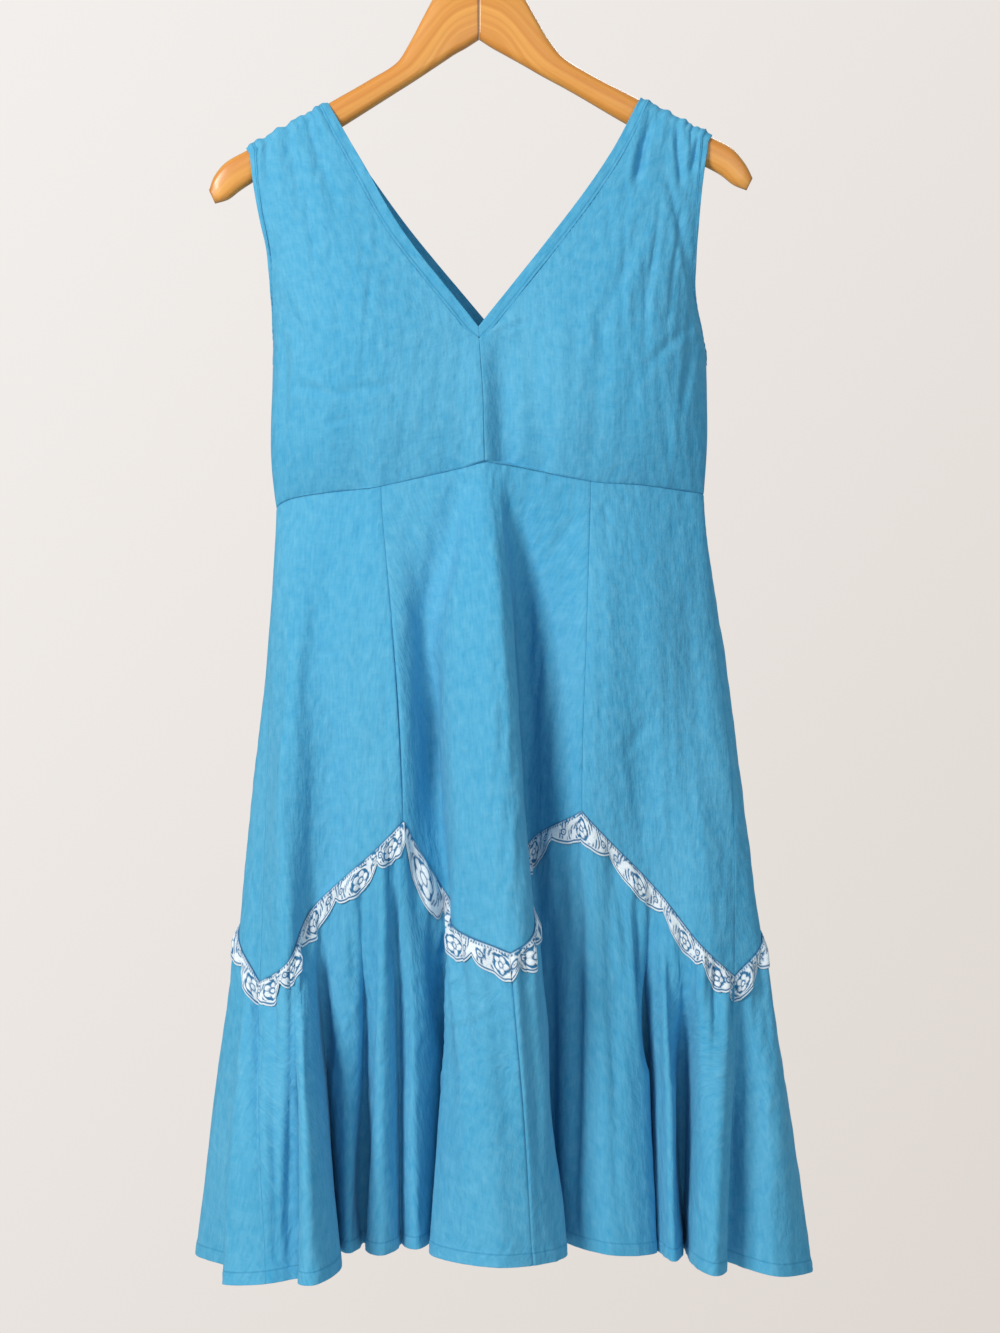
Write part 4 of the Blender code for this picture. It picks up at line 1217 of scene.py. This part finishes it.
@dataclass
class BodicePanel:
    """One bodice panel with its neck band and armhole band.

    Its surface has quarter-elliptic sections from the neckline to the side, straighter towards the shoulder,
    which turn into the waist ring at the bottom and go over the hanger's arm at the top.
    """

    face: Face
    hand: str
    ring: FoldRing
    finish: bpy.types.Material
    band: float = 7.5
    band_spots: tuple = (0, 0.4, 1.0, 1.8, 2.8, 3.8, 4.8, 5.4, 5.8, 6.2, 6.6, 7.0, 7.3, 7.5)
    band_step: float = 1.9
    band_proud: float = 0.3
    stitch_line: float = 5.8
    typical_width: float = 175.0
    typical_height: float = 330.0
    wrap_rise: float = 0.12
    mitre_rise: float = 0.03
    waist_blend: float = 0.22
    mitre_steps: tuple = (0.97, 0.75, 0.5, 0.25)
    step: float = 2.4
    back_step: float = 3.4
    thickness: float = 0.9
    strap_gather: float = 1.4
    crinkle: Crinkle = Crinkle(0.38, 12, 80, 14)
    fine: Crinkle = Crinkle(0.16, 6, 24, 16)
    seam_tucks: Tucks = Tucks(0.35, 5.5, 6)
    waist_tucks: Tucks = Tucks(0.28, 7.0, 9)
    band_tucks: Tucks = Tucks(0.3, 5.5, 5)
    band_crinkle: Crinkle = Crinkle(0.25, 14, 40, 8)

    def __post_init__(self) -> None:
        """Reads the tables, and finds the ring place above which each share of the waist seam lies."""
        self.name = f"{self.face.name.lower()}_{self.hand}"
        self.table = dict(zip(INNER_COLUMNS, np.array(INNER_EDGES[self.name], float).T))
        self.table |= dict(zip(OUTER_COLUMNS, np.array(OUTER_EDGES[self.hand], float).T))
        self.side = math.copysign(1, self.table["outer_x"][0])
        self.flip = self.face.value * self.side < 0
        side_seam = LINE["right side seam"]
        u = np.linspace(0 if self.face is Face.FRONT else RING, side_seam, 400)
        ring_x = self.ring.skirt(np.zeros_like(u), u)[:, 0]
        order = np.argsort(ring_x)
        self.waist_shares = np.linspace(0, 1, 41)
        turn = np.sin(self.waist_shares * math.pi / 2)
        x = self.table["inner_x"][0] * (1 - turn) + self.table["outer_x"][0] * turn
        self.waist_places = np.interp(x, ring_x[order], u[order])

    def column(self, name: str, rise: np.ndarray) -> np.ndarray:
        """A column of the table at a rise, with a corner at the foot of the neckline in its edges."""
        rows, corner = self.table[name], RISES.index(NECK_RISE)
        if not name.endswith(("_x", "_z")):
            return smooth(rise, RISES, rows, steady=True)
        below = smooth(rise, RISES[: corner + 1], rows[: corner + 1], steady=True)
        above = smooth(rise, RISES[corner:], rows[corner:], steady=True)
        return np.where(rise < NECK_RISE, below, above)

    def width(self, rise: np.ndarray) -> np.ndarray:
        """The length of a section from its inner end to its outer end."""
        across = self.column("outer_x", rise) - self.column("inner_x", rise)
        down = self.column("outer_z", rise) - self.column("inner_z", rise)
        return np.hypot(across, down)

    def at(self, rise: np.ndarray, s: np.ndarray) -> np.ndarray:
        """The panel's surface, s of the way across from the inner end.

        A section's x and z run from its inner to its outer end, and its depth falls with the cosine of a
        quarter turn, fully at the neckline's foot and below, and less and less above it. Below, it blends into
        the skirt's waist. Above rise 1, it turns over the arm on a quarter circle.
        """
        rise, s = np.broadcast_arrays(np.asarray(rise, float), np.asarray(s, float))
        low = np.clip(rise, 0, 1)
        turned = np.clip((1 - low) / (1 - NECK_RISE), 0, 1) ** 0.5
        angle = s * math.pi / 2
        across = s + turned * (np.sin(angle) - s)
        share = (1 - s) + turned * (np.cos(angle) - (1 - s))
        x = self.column("inner_x", low) * (1 - across) + self.column("outer_x", low) * across
        z = self.column("inner_z", low) * (1 - across) + self.column("outer_z", low) * across
        outer = self.column("outer_depth", low)
        depth = outer + (self.column("inner_depth", low) - outer) * share
        depth = depth + self.column("fullness", low) * np.sin(math.pi * np.clip(s, 0, 1)) ** 1.5
        part = ramp(low, self.waist_blend)
        blend = (part**2 * (3 - 2 * part))[..., None]
        waist = self.ring.skirt(np.zeros_like(s), smooth(s, self.waist_shares, self.waist_places))
        toward = self.face.value
        below = waist + (np.stack([x, toward * depth, z], axis=-1) - waist) * blend
        turn = np.clip((rise - 1) / self.wrap_rise, 0, 1) * math.pi / 2
        run_x = self.table["outer_x"][-1] - self.table["inner_x"][-1]
        run_z = self.table["outer_z"][-1] - self.table["inner_z"][-1]
        run, radius = math.hypot(run_x, run_z), self.table["inner_depth"][-1]
        lean_x, lean_z = -run_z / run * self.side, abs(run_x) / run
        over = [x + lean_x * radius * np.sin(turn), toward * radius * np.cos(turn),
                z + lean_z * radius * np.sin(turn)]
        return np.where((rise > 1)[..., None], np.stack(over, axis=-1), below)

    def strap_relief(self, rise: np.ndarray, s: np.ndarray) -> np.ndarray:
        """Gathers drawn into the shoulder: broad waves with finer ones between, fading down the strap."""
        fade = np.clip((rise - 0.72) / 0.25, 0, 1) ** 1.5
        broad = self.strap_gather * (0.5 - 0.5 * np.cos(2 * math.pi * 4 * s))
        fine = np.sin(2 * math.pi * 9 * s + 2.2 * np.sin(7 * s + self.side))
        return fade * broad + 0.45 * fine * np.clip((rise - 0.8) / 0.2, 0, 1) ** 2

    def share_of_band(self, rise: np.ndarray, width: float) -> np.ndarray:
        """The share of a section under a band, which tapers to a mitre at the neckline's foot."""
        taper = np.clip((rise - (NECK_RISE - self.mitre_rise)) / self.mitre_rise, 0, 1)
        return width * taper / self.width(np.clip(rise, 0, 1))

    def row_rises(self, from_rise: float, step: float) -> np.ndarray:
        """Rises from one up to the crest of the arm, a step apart."""
        below = np.linspace(from_rise, 1, round((1 - from_rise) * self.typical_height / step))
        return np.concatenate([below, 1 + self.wrap_rise * np.linspace(0, 1, 8)[1:]])[:, None]

    def build(self, seed: int) -> None:
        """Builds the panel and its two bands, and dresses them.

        Args:
            seed: Seed of the panel's faint crinkles.
        """
        step = self.step if self.face is Face.FRONT else self.back_step
        rises = self.row_rises(0.0, step)
        start = self.share_of_band(rises, self.band)
        s = start + (1 - 2 * start) * places(self.typical_width, step)[None, :]
        points = self.at(rises, s)
        height, seam = self.relief(points, rises, s, start, seed)
        self.sew_part("bodice_", points, height, seam)
        self.build_band("neck_band_", False, seed)
        self.build_band("armhole_band_", True, seed + 4)

    def relief(self, points: np.ndarray, rises: np.ndarray, s: np.ndarray, start: np.ndarray,
               seed: int) -> tuple[np.ndarray, np.ndarray]:
        """Listed creases, gathers, crinkles and tucks, rolled down at the seams.

        Args:
            points: Grid of the panel.
            rises: Rises of its rows.
            s: Shares of the way across.
            start: The share of each row that its bands take at each end.
            seed: Seed of its crinkles and tucks.

        Returns:
            The height of the relief and the seam mark (stitches and painted shade in seam grooves), at each
            point.
        """
        edge, down = inward(arc(points, 1)), arc(points, 0)
        x, z = points[..., 0], points[..., 2]
        banded = np.clip(start / (self.band / self.typical_width) * 4, 0, 1)
        calm = ramp(edge, 12)
        height = crease_relief(points, BODICE_CREASES if self.face is Face.FRONT else BODICE_BACK_CREASES)
        height += self.strap_relief(rises, s)
        height += calm * self.crinkle.relief(x, z, seed)
        height += calm * self.fine.relief(x, z, seed + 7)
        height += banded * self.seam_tucks.relief(down, edge, seed)
        height += self.waist_tucks.relief(x, down, seed + 3)
        held = np.where(s < 0.5, 1.0, ramp(edge, 1.5))
        height *= held ** (1 - banded) * ramp(down, 1.5)
        height -= 0.18 * beside(edge, 0.9) + 0.35 * beside(down, 1.0)
        # Seam mark: darker stitches and painted shade in the grooves at the panel's edges and waist.
        return height, (0.22 + 0.15 * banded) * beside(edge, 0.7) + 0.45 * beside(down, 0.6)

    def build_band(self, kind: str, outer: bool, seed: int) -> None:
        """Builds a band: double cloth, a little proud, with one line of stitches and its tucks.

        Args:
            kind: The start of the node's name.
            outer: Whether it lies along the armhole, not the neckline.
            seed: Seed of its tucks.
        """
        mitre = NECK_RISE - self.mitre_rise * np.array(self.mitre_steps)[:, None]
        rises = np.concatenate([mitre, self.row_rises(NECK_RISE, self.band_step)])
        spots = np.array(self.band_spots)
        share = self.share_of_band(rises, 1.0) * spots[None, :]
        s = 1 - share[:, ::-1] if outer else share
        points = self.at(rises, s)
        off = spots[::-1] if outer else spots
        down = arc(points, 0)
        height = self.strap_relief(rises, s) + self.band_proud
        height = height + self.band_tucks.wave(down, seed) * ramp(off, self.band_tucks.reach)
        height += self.band_crinkle.relief(off[None, :] + 0 * down, down, seed)
        sewn = beside(self.band - off, 0.5)
        height -= 0.35 * bell(off - self.stitch_line, 0.45) + 0.15 * sewn + 0.2 * beside(off, 0.6)
        # Seam mark: the stitch line and sewn edge, darkened by stitches and by painted shade in their grooves.
        seam = 0.5 * bell(off - self.stitch_line, 0.5) + 0.15 * sewn + 0 * down
        self.sew_part(kind, points, height, seam)

    def sew_part(self, kind: str, points: np.ndarray, height: np.ndarray, seam: np.ndarray) -> None:
        """Builds and dresses the panel or a band.

        Args:
            kind: The start of the node's name.
            points: Grid of the cloth.
            height: The relief on it.
            seam: The mark of its seams: darker stitches and painted shade in their grooves.
        """
        grid = raised(points, height, self.flip)
        piece = Piece("cloth_" + kind + self.name, grid, {"seam": seam}, flip=self.flip)
        sew(piece.build(self.finish, self.thickness), kind + self.name)


def capped(grid: np.ndarray, ends: np.ndarray | None = None) -> np.ndarray:
    """A grid with a row more at each end: its own end rows again, or all of a row at that end's middle.

    Args:
        grid: Rows of a loft.
        ends: The middle of every row, for the rows that close the shape.

    Returns:
        The longer grid.
    """
    if ends is None:
        return np.concatenate([grid[:1], grid, grid[-1:]])
    return np.concatenate([ends[:1] + 0 * grid[:1], grid, ends[-1:] + 0 * grid[-1:]])


@dataclass
class Hanger:
    """A flat wooden hanger in two arms, mitred in the middle, with a wire hook."""

    wood: bpy.types.Material
    steel: bpy.types.Material
    half_thickness: float = 6.5
    sides: int = 32
    sections: int = 150
    wire: float = 2.0
    bend: float = 22.0
    foot_z: float = -74.5
    ferrule: float = 4.5
    back_offset: float = 60.0
    wire_sides: int = 20
    stem: float = 16.0
    handle: float = 11.0
    bend_from: float = -50.0
    bend_to: float = 200.0
    ferrule_rises: tuple = (0, 0.4, 1.8, 2.6, 3.0, 3.2, 3.6, 9.0)
    ferrule_radii: tuple = (0.92, 1.0, 1.0, 0.9, 0.7, 0.46)
    tip_radii: tuple = (1.0, 0.85, 0.5)
    knots_left: tuple = ((292, -2, 1.6), (283, 4, 1.0), (120, 3, 1.2))
    knots_right: tuple = ((205, -4, 1.1), (296, 2, 1.2))

    def arm(self, name: str, table_rows: tuple, knots: Sequence[tuple]) -> None:
        """Lofts one arm: each section is two half circles joined by straight faces.

        Args:
            name: The side that it is on.
            table_rows: The arm's sections.
            knots: Places of knots along and across the face, with their sizes.
        """
        table = np.array(table_rows, float)
        run = arc(table[:, 2:4], 0)
        at = np.linspace(0, run[-1], self.sections)
        columns = np.stack([smooth(at, run, column, steady=True) for column in table.T], axis=-1)
        top, bottom, share = columns[:, 0:2], columns[:, 2:4], columns[:, 4]
        half = np.linalg.norm(top - bottom, axis=1) / 2
        upward = (top - bottom) / (2 * half[:, None])
        turn = np.arange(self.sides) * 2 * math.pi / self.sides
        radius = np.minimum(self.half_thickness * share, half)
        straight = (half - radius)[:, None] * np.sign(np.round(np.cos(turn), 6))
        along = straight + radius[:, None] * np.cos(turn)
        middle = (top + bottom) / 2
        x = middle[:, :1] + upward[:, :1] * along
        z = middle[:, 1:] + upward[:, 1:] * along
        points = np.stack([x, radius[:, None] * np.sin(turn), z], axis=-1)
        points = capped(points, points.mean(axis=1, keepdims=True))
        along = capped(along)
        passed = capped(at)[:, None] + np.zeros(self.sides)
        layout = np.stack([passed, along + self.back_offset * (np.sin(turn) > 0)], axis=-1)
        tip = np.clip((passed - run[-1] + 5) / 5, 0, 1)
        knot = 0.75 * beside(np.abs(points[..., 0]), 0.7) + 0.45 * tip
        for place, across, size in knots:
            knot = knot + 0.8 * bell(np.hypot((passed - place) / 1.8, along - across), size)
        piece = Piece("wood_arm_" + name, points, {"knot": knot}, layout, table[-1, 0] > 0, True)
        self.fit(piece, self.wood, "hanger_arm_" + name, "wood")

    @staticmethod
    def fit(piece: Piece, material: bpy.types.Material, node: str, slot: str) -> None:
        """Builds a loft, merges the points drawn together at its ends to close it, and hangs it."""
        made = piece.build(material)
        work = bmesh.new()
        work.from_mesh(made.data)
        bmesh.ops.remove_doubles(work, verts=work.verts, dist=1e-6)
        bmesh.ops.dissolve_degenerate(work, edges=work.edges, dist=1e-7)
        work.to_mesh(made.data)
        work.free()
        hang(made, node)

    def hook(self) -> None:
        """Carries a circle along the wire: a stem from the ferrule, an S to the bend, and an open round."""
        start = math.radians(self.bend_from)
        angle = np.linspace(start, math.radians(self.bend_to), 70)
        centre_z = self.wire - self.bend
        bend = np.stack([self.bend * np.cos(angle), centre_z + self.bend * np.sin(angle)], axis=-1)
        foot = np.array([0.0, self.foot_z + self.stem])
        leave = foot + (0, self.handle)
        arrive = bend[0] - self.handle * np.array([-math.sin(start), math.cos(start)])
        t = np.linspace(0, 1, 30)[:-1, None]
        join = (1 - t) ** 3 * foot + 3 * (1 - t) ** 2 * t * leave
        join = join + 3 * (1 - t) * t**2 * arrive + t**3 * bend[0]
        rises = np.array(self.ferrule_rises)
        stem = np.stack([0 * rises, self.foot_z + rises], axis=-1)
        path = np.concatenate([stem, join, bend])
        radius = np.full(len(path), self.wire)
        radius[: len(self.ferrule_radii)] = self.ferrule * np.array(self.ferrule_radii)
        radius[-len(self.tip_radii) :] = self.wire * np.array(self.tip_radii)
        ahead = np.gradient(path, axis=0)
        ahead[: len(rises)] = (0, 1)
        ahead /= np.linalg.norm(ahead, axis=1, keepdims=True)
        turn = np.arange(self.wire_sides) * 2 * math.pi / self.wire_sides
        x = path[:, :1] + radius[:, None] * ahead[:, 1:] * np.cos(turn)
        z = path[:, 1:] - radius[:, None] * ahead[:, :1] * np.cos(turn)
        points = np.stack([x, radius[:, None] * np.sin(turn), z], axis=-1)
        points = capped(points, points.mean(axis=1, keepdims=True))
        passed = arc(points.mean(axis=1), 0)[:, None] + np.zeros(self.wire_sides)
        layout = np.stack([passed, np.broadcast_to(turn * self.wire, passed.shape)], axis=-1)
        piece = Piece("steel_hook", points, {}, layout, round_about=True)
        self.fit(piece, self.steel, "hanger_hook", "steel")

    def build(self) -> None:
        """Builds both arms and the hook."""
        self.arm("left", ARM_LEFT, self.knots_left)
        self.arm("right", ARM_RIGHT, self.knots_right)
        self.hook()


@dataclass
class Studio:
    """A plain pale room and floor, three soft lights, and the camera at the photograph's angle."""

    frame_height: float = 1.10639
    distance: float = 1.7
    eye: tuple[float, float] = (0.0174, -0.6512)
    sensor: float = 36.0
    floor_z: float = -1.62
    pale: str = "#F3EFEC"
    shade: str = "#DFD8D2"
    bounce: str = "#DAECF4"
    ambient: float = 0.44
    aim: tuple[float, float, float] = (0.0, 0.0, -0.65)
    floor_radius: float = 0.9
    floor_sides: int = 64
    lights: tuple = (
        # name, place, side, watts, colour
        ("key", (-1.85, -2.35, 0.45), 1.0, 77.0, "#FFFBF6"),
        ("fill", (0.9, -2.6, 0.2), 1.4, 10.0, "#DDF0FF"),
        ("back", (0.7, 2.2, 1.7), 1.4, 26.0, "#FFFFFF"),
    )

    def camera(self) -> None:
        """Places the camera level, with a lens that frames the photograph's own height."""
        data = bpy.data.cameras.new("camera")
        data.sensor_width = self.sensor
        data.lens = self.sensor * self.distance / self.frame_height
        made = placed("camera", data)
        made.location = (self.eye[0], -self.distance, self.eye[1])
        made.rotation_euler = (math.pi / 2, 0, 0)
        bpy.context.scene.camera = made

    def floor(self) -> None:
        """Lays a round floor below the dress, too small to show from the camera."""
        turn = np.linspace(0, 2 * math.pi, self.floor_sides + 1)[:-1]
        level = np.full(self.floor_sides, self.floor_z)
        rim = np.stack([self.floor_radius * np.cos(turn), self.floor_radius * np.sin(turn), level], axis=-1)
        mesh = bpy.data.meshes.new("floor")
        mesh.from_pydata(rim.tolist(), [], [tuple(range(self.floor_sides))])
        material, tree, _ = new_material("painted_studio_floor")
        spots = streaks(tree, add(tree, "TexCoord").outputs["Object"], 40.0, 40.0)
        colour = mixed(tree, spots, linear(self.shade), linear(self.pale))
        mesh.materials.append(finished(material, colour, None, {"Roughness": 0.9}))
        placed("floor", mesh)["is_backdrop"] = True

    def light(self, name: str, place: tuple, size: float, power: float, colour: str) -> None:
        """Hangs a square soft light that faces the dress.

        Args:
            name: The light's name.
            place: Where it hangs, in metres.
            size: Its side.
            power: Its power in watts.
            colour: Its colour as a hex value.
        """
        data = bpy.data.lights.new(name, "AREA")
        data.size, data.energy, data.color = size, power, linear(colour)[:3]
        made = placed(name, data)
        made.location = place
        made.rotation_euler = (Vector(self.aim) - Vector(place)).to_track_quat("-Z", "Y").to_euler()

    def world(self) -> None:
        """A pale room with painted shade, a little darker towards the right and below, that lights the dress
        faintly cool.
        """
        world = bpy.data.worlds.new("pale_room")
        world.use_nodes = True
        bpy.context.scene.world = world
        tree = world.node_tree
        way = add(tree, "TexCoord").outputs["Generated"]
        parts = add(tree, "SeparateXYZ", {0: way}).outputs
        slant = sum_of(tree, parts[2], -0.8, parts[0])
        share = add(tree, "MapRange", {"Value": slant, 1: -0.45, 2: 0.45}).outputs[0]
        # Camera rays see painted shade that darkens the room towards the right and below; other rays get the
        # cool bounce colour.
        tint = mixed(tree, share, linear(self.pale), linear(self.shade))
        seen = add(tree, "LightPath").outputs["Is Camera Ray"]
        strength = add(tree, "MapRange", {"Value": seen, 3: self.ambient, 4: 1.0}).outputs[0]
        lit = mixed(tree, seen, linear(self.bounce), tint)
        tree.links.new(lit, tree.nodes["Background"].inputs["Color"])
        tree.links.new(strength, tree.nodes["Background"].inputs["Strength"])

    def build(self) -> None:
        """Sets up the camera, the floor, the room and the three lights."""
        self.camera()
        self.floor()
        self.world()
        for row in self.lights:
            self.light(*row)
        bpy.context.scene.view_settings.view_transform = "Standard"


def main(cad_box: tuple[Vector, Vector]) -> None:
    """Builds every sub-assembly in turn, and logs the faces of each piece.

    Args:
        cad_box: Lowest and highest corner of the solids, read straight after loading; not used.
    """
    logging.basicConfig(level=logging.INFO, format="%(name)s: %(message)s")
    Studio().build()
    cloth, lace = ClothFinish().material(), LaceFinish().material()
    Hanger(WoodFinish().material(), SteelFinish().material()).build()
    ring = FoldRing()
    panels = [(face, hand) for face in Face for hand in ("left", "right")]
    for seed, (face, hand) in enumerate(panels, BODICE_SEED):
        BodicePanel(face, hand, ring, cloth).build(seed)
    Skirt(ring, cloth).build()
    Flounce(ring, cloth, lace).build()


if __name__ == "__main__":
    main(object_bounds())
